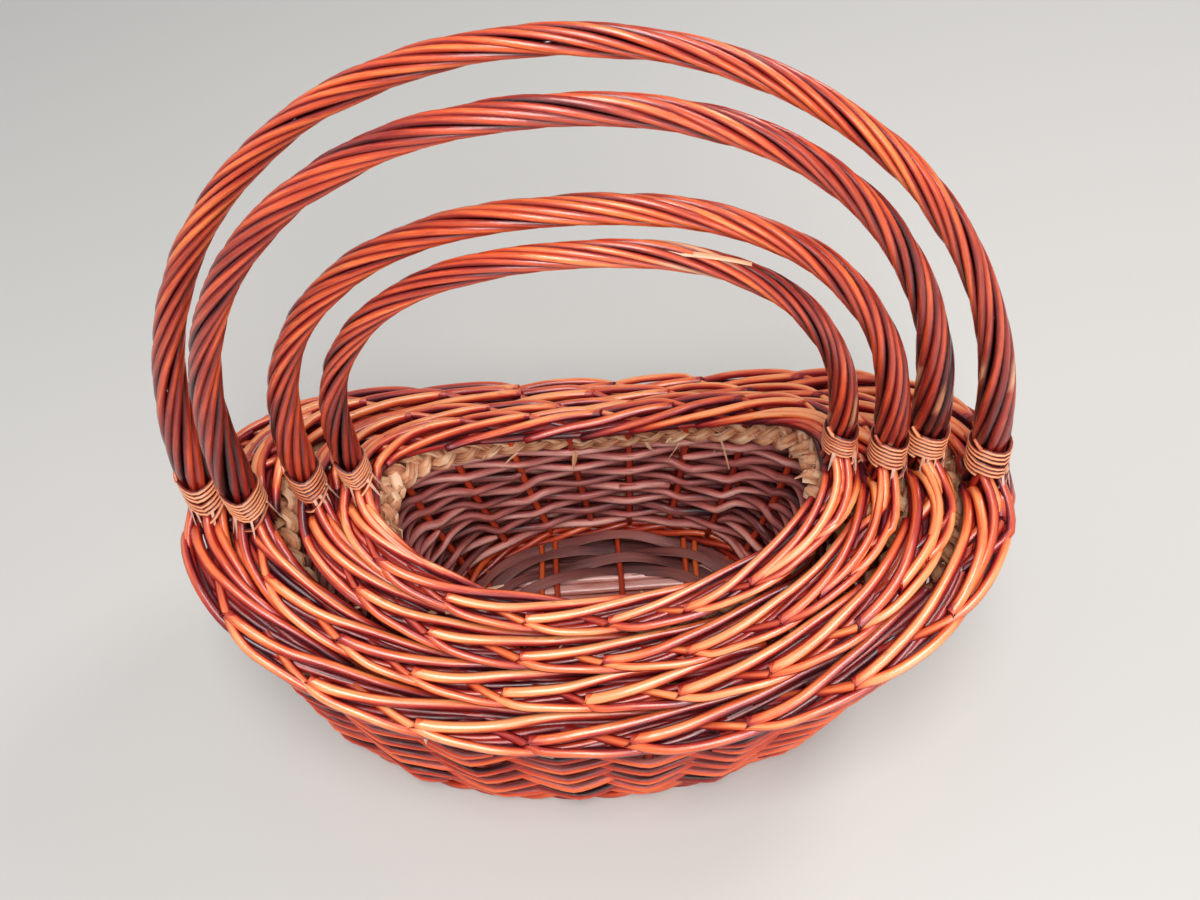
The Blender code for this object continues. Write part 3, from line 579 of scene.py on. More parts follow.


# Courses of a border's rods, in mm along the rim, outward and up from the border's middle, and how
# deep in painted shade they lie; at the start of a cut rod that value is its darker stained tip.
# Bent and sharp ones come up from inside and turn at the outer edge, cut ones start with their cut
# end on top, and all of them sweep in again and go under.
RISING = ((-60, -4, -9, 0.8), (-48, -3.6, -5.4, 0.7))
GOING_UNDER = ((58, 10.4, -3.4, 0.5), (76, 6.8, -4.0, 0.65), (102, 1.2, -4.2, 0.75),
               (132, -5.0, -4.6, 0.9), (150, -7.0, -7, 1))
BENT = (*RISING, (-32, 0.8, -3.2, 0.4), (-18, 5.6, -1.6, 0.22), (-8, 9.0, -0.2, 0.14),
        (-1, 11.2, 0.6, 0.1), (6, 12.4, 0.8, 0.06), (25, 12.6, 0.8, 0.1), (42, 12.0, -0.8, 0.2),
        *GOING_UNDER)
SHARP = (*RISING, (-32, -0.8, -3.2, 0.42), (-16, 4.4, -1.4, 0.24), (-4, 10.2, 0.2, 0.1),
         (0, 12.4, 0.7, 0.04), (4, 12.9, 0.8, 0.04), (25, 12.7, 0.8, 0.08), (42, 12.0, -0.8, 0.18),
         *GOING_UNDER)
CUT = ((-4, 6.4, 2.4, 0.62), (-1.5, 6.3, 2.8, 0.3), (4, 6.0, 3.4, 0.04), (30, 2.0, 5.0, 0.0),
       (60, -5.4, 5.0, 0.02), (88, -10.2, 3.6, 0.1), (112, -12.4, 0.4, 0.4), (132, -12.6, -4.4, 0.9))
# Rods that leave the handle's foot along the border, and those that come to it
LEAVING = (
    ((-3, -5.0, 18, 0.7), (5, -7.2, 9.0, 0.55), (18, -9.4, 3.6, 0.4), (42, -11.6, 1.2, 0.4),
     (66, -12.6, -2, 0.7), (82, -12.8, -5, 1)),
    ((-2, -1.5, 16, 0.6), (7, -1.8, 11.0, 0.25), (22, -3.6, 6.8, 0.06), (48, -7.4, 5.6, 0.02),
     (78, -11.0, 3.0, 0.12), (100, -12.6, -0.6, 0.5), (116, -12.8, -5, 1)),
    ((-3, 4.5, 18, 0.8), (6, 8.4, 7.4, 0.6), (18, 11.6, 1.8, 0.4), (40, 12.6, -0.6, 0.3),
     (62, 11.4, -3.0, 0.5), (84, 7, -4.4, 0.8), (100, 3, -5, 1)),
)
COMING = (
    ((-86, 6.0, 2.6, 0.62), (-83, 5.9, 3.0, 0.3), (-70, 5.8, 3.8, 0.0), (-44, 4.6, 5.4, 0.0),
     (-22, 0.6, 7.8, 0.1), (-8, -2.6, 11.0, 0.3), (2, -3.4, 16, 0.7)),
    ((-64, -4, -5, 0.8), (-52, 3, -2.0, 0.4), (-41, 11.2, 0.8, 0.1), (-38, 12.8, 1.6, 0.04),
     (-34, 12.6, 2.4, 0.04), (-20, 9.0, 5.0, 0.14), (-8, 5.4, 9.5, 0.3), (1, 3.4, 15, 0.7)),
    ((-50, -9, -3, 0.7), (-40, -4, 0, 0.3), (-31, 2.6, 3.6, 0.08), (-28, 4.0, 4.4, 0.04),
     (-24, 3.8, 5.2, 0.04), (-14, 1.6, 8.0, 0.16), (-5, -0.4, 12, 0.4), (2, -0.8, 16, 0.8)),
)
# Steps along a rod in mm: close ones near its bend or its cut tip, longer ones beyond
BEND_REACH = 9
BEND_STEP = 3.0
LONG_STEP = 5.5
TIP_STEPS = (1.2, 2.6)
BENT_RADII = (0.0028, 0.0033)
CUT_RADII = (0.0032, 0.0037)
FOOT_ROD_RADII = (0.0029, 0.0034)
SHARP_SHARE = 0.25
STATION_PITCH = 0.060
# Other rods keep low under a handle's foot, and are painted darker there as painted shade, for so far to
# each side of it
FOOT_ROOM = 0.013
LOW_PASS = -0.0058
# The foot's own rods are moved across to it, within so many mm
FOOT_FAN = 24
# Twisted filling rods and the plain ones beside them, all painted dark as painted shade
FILLERS = 6
FILLER_TURN = 0.33
FILLER_STEP = 0.011
FILLER_LEVEL = -0.0054
EDGE_LEVEL = -0.0052
EDGES = (-0.0090, 0.0088)


def from_foot(basket, s):
    """How far along the rim the nearer foot of the handle is; it is below zero before that foot."""
    half = basket.perimeter / 2
    return np.mod(s - basket.foot_along + half / 2, half) - half / 2


def border_rod(made, basket, rng, keys, start, radius, slant=0.0, stretch=1.0, at_foot=False):
    """One rod of a border on its course from a place along the rim."""
    keys = np.array(keys, float)
    keys[:, 0] *= stretch
    first, last = keys[0, 0], keys[-1, 0]
    at = np.concatenate([np.arange(first, -BEND_REACH, LONG_STEP),
                         np.arange(max(-BEND_REACH, first + 1), BEND_REACH, BEND_STEP),
                         np.arange(BEND_REACH, last, LONG_STEP)])
    if first < -1 and slant:
        at = np.sort(np.concatenate([at, first + np.array(TIP_STEPS)]))
    out, up, shade = smooth_path(keys[:, 0], keys[:, 1:], at).T
    at = at / 1000
    out = out / 1000 * basket.wide + wander(rng, at, 0.13, 0.0007)
    up = up / 1000 * basket.tall + wander(rng, at, 0.11, 0.0004)
    s = start + at
    if not at_foot:
        under = ease(1.5 - np.abs(from_foot(basket, s)) / FOOT_ROOM)
        up = up + (np.minimum(up, LOW_PASS) - up) * under
        # Painted shade: a rod that passes low under the handle's foot is painted darker there
        shade = shade + 0.6 * under
    path = basket.rim(s, out, up)
    lean = np.clip(out / (basket.width / 2), -0.6, 1) * 0.7
    open_way = unit(UP + basket.outward(path) * lean[:, None])
    shade = with_ends(shade)[:, None]
    taper = 1.06 - 0.2 * np.linspace(0, 1, len(at))
    # Painted shade from the keys and where the rod turns under, with the stain in its grooves
    made.rod_along(path, radius * taper, 8, UP, tone=rng.random(), out=open_way, rounded=(0.15, 0.4),
                   slant=slant, deep=lambda facing: np.clip(shade * 0.8 + rod_stain_and_shade(facing) * 0.74, 0, 1))


def border_fillers(made, basket, rng, thick):
    """Filling rods below the others, and plain rods beside them, painted dark as painted shade so that the
    gaps show dark.
    """
    turns = round(basket.perimeter / FILLER_TURN)
    at = np.linspace(0, basket.perimeter, round(basket.perimeter / FILLER_STEP))
    for k in range(FILLERS):
        turn = TAU * (k / FILLERS + turns * at / basket.perimeter)
        out = np.cos(turn) * 0.0098 * basket.wide
        up = (np.sin(turn) * 0.0010 + FILLER_LEVEL) * basket.tall
        made.rod_along(basket.rim(at, out, up), 0.0027 * thick, 6, UP, out=UP, tone=rng.random(),
                       deep=lambda facing: np.clip(0.85 - facing * 0.2, 0, 1), rounded=(0, 0))
    for out in EDGES:
        wobble = wander(rng, at, 0.2, 0.0005)
        path = basket.rim(at, out * basket.wide + wobble, EDGE_LEVEL * basket.tall)
        made.rod_along(path, 0.0030 * thick, 6, UP, tone=rng.random(), deep=0.9, rounded=(0, 0))


def border(basket, rng):
    """Rods that come up from the inside, bend over the outer edge and sweep in again over the top."""
    made = Strands()
    pitch = basket.perimeter / basket.stations
    thick = 0.35 + 0.65 * basket.wide
    stretch = (pitch / STATION_PITCH) ** 0.7
    for k in range(basket.stations):
        start = basket.first_station + (k + rng.uniform(-0.08, 0.08)) * pitch
        bent = SHARP if rng.random() < SHARP_SHARE else BENT
        border_rod(made, basket, rng, bent, start + rng.uniform(0.003, 0.010),
                   rng.uniform(*BENT_RADII) * thick, stretch=stretch * rng.uniform(0.95, 1.05))
        border_rod(made, basket, rng, CUT, start, rng.uniform(*CUT_RADII) * thick,
                   slant=rng.uniform(0.7, 1.3), stretch=stretch * rng.uniform(0.92, 1.10))
    border_fillers(made, basket, rng, thick)
    middle = (basket.span - basket.top_a) / basket.wide * 1000
    for foot in (basket.foot_along, basket.foot_along + basket.perimeter / 2):
        for courses in (LEAVING, COMING):
            for keys in courses:
                keys = np.array(keys)
                keys[:, 1] += middle * np.clip(1 - np.abs(keys[:, 0]) / FOOT_FAN, 0, 1)
                radius = rng.uniform(*FOOT_ROD_RADII) * thick
                slant = rng.uniform(0.7, 1.2) if courses is COMING else 0.0
                border_rod(made, basket, rng, keys, foot, radius, slant=slant, at_foot=True)
    made.piece(basket.name + "_border_rods", basket, WILLOW, "willow_rods", "border")


HANDLE_RODS = 9
HANDLE_STEP = 0.006
# The rods turn once in this length of the handle, and in more of it near the feet
TURN_LENGTH = 0.175
FOOT_TURN_LENGTH = 0.20
# A rod's radius as a share of its distance to the next one, how far the rods reach into the border,
# and how far past the foot the binding holds them together
ROD_SHARE = 0.57
ROD_REACH = 0.012
BINDING_REACH = 0.009
# How high above the feet the rods are painted darker as painted shade, and how dark on the left and on the
# right
DIM_HEIGHT = 0.21
DIM_LEFT = 0.32
DIM_RIGHT = 0.42


def handle(basket, rng):
    """Rods laid right-handed round a core, thick at the feet and thin at the top."""
    made = Strands()
    low = basket.bow_foot - basket.end_z - basket.height / 2 + ROD_REACH
    d = np.arange(-low, basket.length + low, HANDLE_STEP)
    p, front, side, share = basket.bow(d)
    bundle = basket.top_radius + (basket.foot_radius - basket.top_radius) * (1 - share) ** 1.5
    rate = TAU / (TURN_LENGTH + FOOT_TURN_LENGTH * (1 - share) ** 3)
    twist = np.concatenate([[0], np.cumsum(rate[1:] * np.diff(d))])
    rod_share = TAU / HANDLE_RODS * ROD_SHARE
    below = np.maximum(np.maximum(-d, d - basket.length) - BINDING_REACH, 0)
    flare = (below / ROD_REACH) ** 1.5 * 0.0012
    up = np.minimum(d, basket.length - d)
    swell = 0.0012 * np.clip((up - BINDING_REACH) / 0.008, 0, 1) * np.clip(1.3 - up / 0.08, 0, 1)
    ring = (bundle + swell) / (1 + rod_share) + flare
    # dim is painted shade on the legs near the feet
    dim = np.clip(1 - up / DIM_HEIGHT, 0, 1) * np.where(d < basket.length / 2, DIM_LEFT, DIM_RIGHT)
    dim = with_ends(dim + basket.shade)[:, None]
    for k in range(HANDLE_RODS):
        turn = TAU * (k + rng.uniform(-0.12, 0.12)) / HANDLE_RODS + twist + wander(rng, d, 0.31, 0.07)
        thick = (ring - flare) * rod_share * rng.uniform(0.90, 1.10) * (1 + wander(rng, d, 0.2, 0.03))
        off = ring + wander(rng, d, 0.23, 0.00025) + rng.uniform(-0.0003, 0.0003)
        way = front * np.cos(turn)[:, None] + side * np.sin(turn)[:, None]
        bare = np.zeros_like(d)
        for where, reach in basket.bare if k % 3 == 0 else ():
            middle = where * basket.length + rng.uniform(-0.02, 0.02)
            bare = np.maximum(bare, np.clip(2.5 - np.abs(d - middle) / reach * 3, 0, 1))
        bare = with_ends(bare)[:, None]
        # Painted shade: each rod is darker where it turns in towards the core and the grooves between rods
        made.rod_along(p + way * off[:, None], thick, 8, way, out=way, tone=rng.random(),
                       inner=lambda facing: bare * np.clip(facing * 3 - 1.2, 0, 1),
                       deep=lambda facing: np.clip(0.92 + dim - facing * 0.80, 0, 1))
    if basket.innermost:
        split_end(made, basket)
    made.piece(basket.name + "_handle_strands", basket, HANDLE, "handle_rods", "handle_rods", "handle_core")


SPLIT_FROM = 0.565
SPLIT_TO = 0.662


def split_end(made, basket):
    """A split end of a rod that springs clear near the handle's top."""
    steps = np.linspace(0, 1, 13)
    p, front, side, _ = basket.bow((SPLIT_FROM + (SPLIT_TO - SPLIT_FROM) * steps) * basket.length)
    lift = unit(front * 0.35 - side)
    path = p + lift * (basket.top_radius - 0.0032 + 0.0078 * steps**1.5)[:, None]
    made.rod_along(path, 0.0019 * (1 - 0.5 * steps), 6, lift, flat=0.4, tone=0.55, deep=0.25, inner=1.0,
                   rounded=(0.3, 0.1))


CANE_TURNS = 6
CANE_PITCH = 0.0034
CANE_RADIUS = 0.00150
CANE_STEPS = 24
# The turns stand out and dip at one corner, at this angle from the front of the foot
CORNER_LEFT = 0.15
CORNER_RIGHT = 0.55
CORNER_REACH = 0.0027
CORNER_DIP = 0.0022
SLIVERS = 4


def winding(basket, right, rng):
    """Six turns of split cane round a foot of the handle, its tail pulled across below them."""
    made, slivers = Strands(), Strands()
    where = basket.length if right else 0.0
    sign = -1 if right else 1
    corner = CORNER_RIGHT if right else CORNER_LEFT
    half = CANE_TURNS / 2 * CANE_PITCH

    def at(turn, up, grow=0.0):
        """A point of the winding, the front of the foot at turn 0, and the outward direction there."""
        p, front, side, _ = basket.bow(where + sign * up)
        off = np.abs(np.mod(turn - corner + math.pi, TAU) - math.pi)
        bump = np.clip(1 - off / 1.0, 0, 1) ** 1.25
        reach = basket.foot_radius + 0.0006 + CORNER_REACH * bump + grow
        outward = front * np.cos(turn)[:, None] + side * (sign * np.sin(turn))[:, None]
        p = p + outward * reach[:, None]
        p[:, 2] -= CORNER_DIP * bump
        return p, outward

    def shade_between_turns(facing):
        """Painted shade, dark where one turn meets the next."""
        return np.clip((0.88 - facing) / 0.42, 0, 1)

    start = corner - 1.2
    turn = np.linspace(start, start + CANE_TURNS * TAU, CANE_TURNS * CANE_STEPS)
    up = half - (turn - start) / TAU * CANE_PITCH
    path, outward = at(turn, up + wander(rng, turn, 5.0, 0.00015))
    made.rod_along(path, CANE_RADIUS, 8, outward, flat=0.85, out=outward, tone=rng.random(), deep=shade_between_turns,
                   rounded=(0.5, 0.5))
    # The first end sticks up, and the last one is pulled down across the front
    turn = np.linspace(start, start - 0.5, 8)
    path, outward = at(turn, half + np.linspace(0, 0.0045, 8), 0.0004)
    made.rod_along(path, np.linspace(0.0013, 0.0009, 8), 8, outward, tone=rng.random(), deep=0.25)
    steps = np.linspace(0, 1, 16)
    path, outward = at(corner + 1.2 - 1.55 * steps, 0.0016 - half - steps**1.4 * 0.0085, 0.0014)
    made.rod_along(path, 0.00145, 8, outward, flat=0.8, out=outward, tone=rng.random(), deep=shade_between_turns,
                   rounded=(0.2, 0.5))
    steps = np.linspace(0, 1, 9)
    for _ in range(SLIVERS):
        turn = rng.uniform(-0.9, 1.5)
        reach = rng.uniform(0.014, 0.034)
        path, outward = at(turn + steps * rng.uniform(-0.3, 0.3), 0.003 - half - steps * reach, -0.0008)
        path = path + outward * (0.0018 + steps * rng.uniform(0.001, 0.006))[:, None]
        radius = (1 - 0.85 * steps**1.5) * rng.uniform(0.0007, 0.0013)
        slivers.rod_along(path, radius, 6, outward, flat=0.35, tone=rng.random())
    name = basket.name + ("_right" if right else "_left")
    made.piece(name + "_cane", basket, CANE, "split_cane", "right_winding" if right else "left_winding")
    slivers.piece(name + "_slivers", basket, SLIVER, "split_cane")


STAKE_RADIUS = 0.0026
STAKE_STEPS = 10


def weave_wave(k, sharp):
    """1 where a rod passes outside a stake, -1 where it passes inside the next, straight between."""
    return np.arcsin(sharp * np.cos(math.pi * k)) / math.asin(sharp)


def stretches(here):
    """Slices of the stretches of a row where something is there."""
    edges = np.flatnonzero(np.diff(np.concatenate([[0], here.astype(int), [0]])))
    return [slice(a, b) for a, b in zip(edges[::2], edges[1::2]) if b - a > 3]


def side_rows(basket, rng, rise, ratio):
    """The share of its full height that each course takes along the side, and its parity.

    The higher ends are packed with pairs of extra short courses."""
    courses = basket.courses
    pairs = round(courses * (ratio - 1) / 2)
    gaps = np.round((np.arange(pairs) + 0.5) * (courses - 1) / pairs - 0.5).astype(int)
    starts = rng.permutation(pairs)
    rows = []
    for c in range(courses):
        parity = (c + (not basket.innermost)) % 2
        rows.append((np.ones_like(rise), parity))
        for pair in np.flatnonzero(gaps == c):
            grown = ease((rise - (starts[pair] + 0.5) / pairs) / 0.14 + 0.5)
            rows += [(grown, 1 - parity), (grown, parity)]
    return rows


def lapped(rng, per, path, normal, out, thin):
    """One course of the innermost side, which shows where its rod ends and overlaps its start."""
    turn = rng.integers(len(out) - 1)
    order = (np.arange(len(out) + per) + turn) % (len(out) - 1)
    steps = np.linspace(0, 1, len(order))
    ends = np.clip(np.abs(steps - 0.5) * 2 * len(order) / per - len(order) / per + 1, 0, 1)
    path = path[order] - normal[order] * (0.0022 * ends)[:, None]
    path[:, 2] += 0.0019 * ends * np.sign(steps - 0.5)
    return path, normal[order], out[order], thin[order] * (1.12 - 0.35 * steps)


def side(basket, rng):
    """Rods woven in and out of the stakes."""
    made = Strands()
    per = 10 if basket.side_shows else 8
    k = np.arange(basket.stakes * per + 1) / per
    s = (k + basket.first_stake) / basket.stakes * basket.perimeter
    angle = basket.angle(s)
    low, high = basket.side_span(angle)
    rise = (basket.rim_height(angle) - basket.side_z) / (basket.end_z - basket.side_z)
    rows = side_rows(basket, rng, rise, (high.max() - low) / (high.min() - low))
    total = sum(grown for grown, _ in rows)
    below = 0
    for grown, parity in rows:
        share = (below + grown / 2) / total
        below = below + grown
        from_edge = np.minimum(share, 1 - share)
        wave = weave_wave(k + parity, 0.93 if basket.innermost else 0.985)
        height = low + (high - low) * share - basket.zigzag * wave * np.clip(4 * from_edge, 0, 1)
        height = height + wander(rng, s, 0.3, 0.0008 if basket.innermost else 0.0004)
        edge = np.clip(6 * from_edge + 0.35, 0, 1)
        out = basket.swing * edge * wave * (1 + wander(rng, s, 0.4, 0.06))
        path, normal = basket.wall(angle, share, height, out + basket.side_out * edge)
        tone = rng.random()
        thin = basket.side_rod * (1 + wander(rng, s, 0.25, 0.06)) * np.clip(grown, 0.3, 1) ** 0.5
        closed = grown.min() == 1
        if closed and basket.innermost:
            path, normal, out, thin = lapped(rng, per, path, normal, out, thin)
            closed = False
            grown = np.ones_like(out)
        for run in stretches(grown > 0.3):
            # Painted shade: a rod is darker where it lies back behind the stakes, seen from either face, and
            # where it turns under
            bulge = with_ends(out[run])[:, None] / basket.swing
            made.rod_along(path[run], thin[run], 6, normal[run], out=normal[run], tone=tone,
                           rounded=(0, 0) if closed else (0.3, 0.3),
                           inner=lambda facing: np.clip(0.5 - facing * 1.6, 0, 1),
                           deep=lambda facing: np.clip(0.31 - bulge * np.sign(facing) * 0.30
                                                       + rod_stain_and_shade(np.abs(facing)) ** 2 * 0.5, 0, 1))
    made.piece(basket.name + "_woven_rods", basket, SIDE, "side_rods", "side_weave")


def stakes(basket, rng):
    """Upright rods that the side is woven round, with their heads in the border."""
    made = Strands()
    for j in range(basket.stakes):
        s = (j + basket.first_stake) / basket.stakes * basket.perimeter
        angle = basket.angle(np.array([s]))[0]
        low, high = basket.side_span(angle)
        share = np.linspace(-0.02, 1.0, STAKE_STEPS)
        out = np.full(STAKE_STEPS, basket.side_out)
        path, normal = basket.wall(np.full(STAKE_STEPS, angle), np.clip(share, 0, 1),
                                   low + (high - low) * share, out)
        head = basket.rim(np.array([s]), np.array([-0.004]), -0.007)
        path = np.concatenate([path, head])
        normal = np.concatenate([normal, normal[-1:]])
        made.rod_along(path, STAKE_RADIUS, 6, normal, tone=rng.random(), deep=0.3)
    made.piece(basket.name + "_stakes", basket, STAKE, "side_rods")


WALE_RODS = 3
WALE_TURN = 0.085
WALE_STEP = 0.007


def wale(basket, rng):
    """Three rods twisted round the foot."""
    made = Strands()
    fine = np.linspace(0, TAU, FOOT_STEPS + 1)
    along = lengths_along(basket.foot(fine, 0 * fine, 0.0))
    at = np.linspace(0, along[-1], round(along[-1] / WALE_STEP))
    angle = np.interp(at, along, fine)
    turns = round(along[-1] / WALE_TURN)
    for k in range(WALE_RODS):
        turn = TAU * (k / WALE_RODS + turns * at / along[-1])
        inward = WALE_WIDTH / 2 - np.cos(turn) * 0.0034
        path = basket.foot(angle, inward, WALE_HEIGHT / 2 + np.sin(turn) * 0.0033)
        # Painted shade: each rod is darker where it dips under the others
        made.rod_along(path, 0.0024, 6, UP, tone=rng.random(), deep=0.35 - 0.2 * np.sin(turn),
                       rounded=(0, 0))
    made.piece(basket.name + "_wale_rods", basket, STAKE, "willow_rods", "foot_wale")


# A husk strand's folds are uneven round it
FOLD_SHAPE = np.array([1, 0.88, 1.06, 0.94, 1.05, 0.9])


def braid(made, basket, rng, out, up, slant, spread, depth, width, pitch, ends, folds):
    """Three strands of folded husk, plaited flat, out and up from the border's middle.

    slant tips its face up from the wall, spread and depth are how far the strands swing across it
    and out of it, width is a strand's, and ends is how much larger all of it is at the basket's ends."""
    cycles = round(basket.perimeter / pitch)
    at = np.linspace(0, basket.perimeter, cycles * 12 + 1)
    level = basket.rim(at, 0 * at, 0.0)
    outward = basket.outward(level)
    to_face = math.copysign(1, out)
    face = unit(outward * math.cos(slant) * to_face + UP * math.sin(slant))
    across = unit(UP * math.cos(slant) - outward * math.sin(slant) * to_face)
    grow = 1 + ends * oval(basket.angle(at), 1, 1, OVAL_POWER)[:, 0] ** 2
    middle = level + outward * (out * grow)[:, None] + UP * up
    middle = middle + across * wander(rng, at, 0.2, 0.0010)[:, None]
    for k in range(3):
        turn = TAU * (k / 3 + cycles * at / basket.perimeter) + wander(rng, at, 0.11, 0.10)
        path = middle + across * (np.sin(turn) * spread * grow)[:, None]
        lies = np.sin(2 * turn)
        path = path + face * (lies * depth * grow)[:, None]
        # Painted shade: a strand is darker where it lies under the others and where it faces away
        dark = with_ends(0.34 - lies * 0.40)[:, None]
        for fold in folds:
            shift = fold * width * 0.42 * grow + wander(rng, at, 0.05, 0.0004)
            lift = (1 - abs(fold)) * 0.0009 + rng.uniform(-0.0002, 0.0002) + wander(rng, at, 0.037, 0.0004)
            size = width * grow * rng.uniform(0.42, 0.62) * (1 + wander(rng, at, 0.045, 0.22))
            tilt = unit(face + across * (fold * 0.45 + wander(rng, at, 0.06, 0.35))[:, None])
            made.rod_along(path + across * shift[:, None] + face * lift[:, None], size, 6, tilt, flat=0.24,
                           out=face, tone=rng.random(), shape=FOLD_SHAPE, rounded=(0, 0),
                           deep=lambda facing: np.clip(dark - facing * 0.12, 0, 1))


FRAY_PITCH = 0.011
FRAY_INSIDE_SHARE = 0.8


def frayed_end(made, basket, rng):
    """A torn end of husk that sticks out of the plait."""
    s = np.array([rng.uniform(0, basket.perimeter)])
    inside = rng.random() < FRAY_INSIDE_SHARE
    out = rng.uniform(-0.0150, -0.0100) * basket.wide if inside else 0.0055
    root = basket.rim(s, np.array([out]), rng.uniform(-0.022, -0.012))[0]
    outward = basket.outward(root)
    along = np.cross(UP, outward)
    way = outward * (-0.5 if inside else 0.2) + along * rng.uniform(-1.8, 1.8)
    way = unit(way + UP * rng.uniform(-0.9, 0.5))
    bend = unit(rng.uniform(-1, 1, 3) - UP * 0.5)
    steps = np.linspace(0, 1, 6)
    length = rng.uniform(0.005, 0.014)
    path = root + np.outer(steps * length, way) + np.outer(steps**2 * length * 0.55, bend)
    twist = outward + along * rng.uniform(-0.6, 0.6)
    twist = unit(twist + UP * rng.uniform(-0.2, 0.9))
    radius = rng.uniform(0.0010, 0.0026) * (1 - 0.75 * steps**2)
    made.rod_along(path, radius, 4, twist, flat=0.16, tone=rng.random() * 0.6, rounded=(0, 0))


def plait(basket, rng):
    """The husk plait under the border: a broad face inside, a narrower one outside, and frayed ends."""
    made = Strands()
    braid(made, basket, rng, out=-0.0046 * basket.wide, up=-0.0155, slant=0.75, spread=0.0037,
          depth=0.0014, width=0.0026, pitch=0.046, ends=1.55, folds=(-1, 0, 1))
    braid(made, basket, rng, out=0.0022, up=-0.0163, slant=0.1, spread=0.0040, depth=0.0015,
          width=0.0044, pitch=0.040, ends=0.0, folds=(0,))
    for _ in range(int(basket.perimeter / FRAY_PITCH)):
        frayed_end(made, basket, rng)
    made.piece(basket.name + "_plaited_husk", basket, HUSK, "dry_husk", "husk_plait")


# Planks lie along the middle of the floor, sticks across them at these shares of its half length
PLANK_ZONE = 0.029
PLANK_PITCH = 0.0088
PLANK_LEVEL = 0.0030
PLANK_RADIUS = 0.0045
PLANK_FLAT = 0.52
STICK_SHARES = (-0.82, -0.456, -0.35, 0.107, 0.563, 0.64, 0.86)
STICK_LEVEL = 0.0070
STICK_RADIUS = 0.0022
# The ribbon goes over and under once in two of these lengths, ring by ring inwards
RIBBON_SPAN = 0.0515
RIBBON_PITCH = 0.0092
RIBBON_START = 0.0135
RIBBON_LEVEL = 0.0078
RIBBON_SWING = 0.0028
RIBBON_RADIUS = 0.0041
RIBBON_FLAT = 0.15


def floor_sticks(basket, rng, half_a, half_b):
    """Flat rods laid side by side along the floor, and sticks across them."""
    made = Strands()

    def reach(across, half_across, half_along):
        """How far along it the floor reaches, so far across it."""
        return half_along * (1 - min(abs(across) / half_across, 1) ** FOOT_POWER) ** (1 / FOOT_POWER)

    count = 2 * round(PLANK_ZONE / PLANK_PITCH) + 1
    for j in range(count):
        across = (j - (count - 1) / 2) * PLANK_PITCH
        end = reach(across, half_b, half_a) - 0.002
        x = np.linspace(-end, end, 16)
        y = across + wander(rng, x, 0.2, 0.0004)
        path = np.stack([x, y, PLANK_LEVEL + wander(rng, x, 0.15, 0.0002)], -1) + basket.shift
        # Painted shade: planks are darker on their sides and undersides
        made.rod_along(path, PLANK_RADIUS * (1 + wander(rng, x, 0.2, 0.04)), 8, UP, flat=PLANK_FLAT,
                       out=UP, tone=rng.random(), deep=lambda facing: np.clip(0.28 - facing * 0.28, 0, 1))
    for share in STICK_SHARES:
        along = share * half_a
        end = reach(along, half_a, half_b) - 0.001
        y = np.linspace(-end, end, 12)
        z = STICK_LEVEL + wander(rng, y, 0.15, 0.0002)
        path = np.stack([along + wander(rng, y, 0.2, 0.0008), y, z], -1) + basket.shift
        # Painted shade: sticks are a little darker where they face away from above
        made.rod_along(path, STICK_RADIUS, 6, UP, out=UP, tone=rng.random(), inner=1.0,
                       deep=lambda facing: np.clip(0.2 - facing * 0.15, 0, 1))
    made.piece(basket.name + "_base_sticks", basket, PLANK, "base_sticks", "floor_sticks")


def floor_ribbon(basket, rng, half_a, half_b):
    """Flat ribbon woven over and under the sticks, in rings."""
    made = Strands()
    fine = np.linspace(0, TAU, FOOT_STEPS + 1)
    for r in range(round((half_b - PLANK_ZONE + 0.004) / RIBBON_PITCH)):
        inward = WALE_WIDTH + RIBBON_PITCH * (r + 0.45)
        along = lengths_along(basket.foot(fine, inward + 0 * fine, 0.0))
        spans = 2 * round(along[-1] / RIBBON_SPAN / 2)
        at = np.linspace(0, along[-1], spans * 9 + 1)
        angle = np.interp(at, along, fine)
        over = np.cos(math.pi * ((at - along[-1] / 4 + RIBBON_START) / along[-1] * spans + r))
        path = basket.foot(angle, inward + wander(rng, at, 0.16, 0.0013), RIBBON_LEVEL + RIBBON_SWING * over)
        outward = oval_normal(path - basket.shift, half_a, half_b, FOOT_POWER)
        aslant = UP + outward * wander(rng, at, 0.09, 0.22)[:, None]
        # Painted shade: the ribbon is darker where it goes under the sticks
        made.rod_along(path, RIBBON_RADIUS * (1 + wander(rng, at, 0.1, 0.08)), 6, aslant, flat=RIBBON_FLAT,
                       tone=rng.random(), deep=np.clip(0.35 - 0.3 * over, 0, 1), rounded=(0, 0))
    made.piece(basket.name + "_woven_ribbon", basket, RIBBON, "floor_ribbon", "floor_ribbon")


def dress():
    """Every piece of every basket, each basket inside the one before it."""
    outside = None
    for index in range(BASKETS):
        basket = Basket(index, outside)
        rng = np.random.default_rng(100 + index)
        border(basket, rng)
        handle(basket, rng)
        winding(basket, False, rng)
        winding(basket, True, rng)
        side(basket, rng)
        stakes(basket, rng)
        wale(basket, rng)
        plait(basket, rng)
        inside_foot = basket.foot_a - WALE_WIDTH, basket.foot_b - WALE_WIDTH
        floor_sticks(basket, rng, *inside_foot)
        floor_ribbon(basket, rng, *inside_foot)
        outside = basket


GROUND_REACH = 6.0
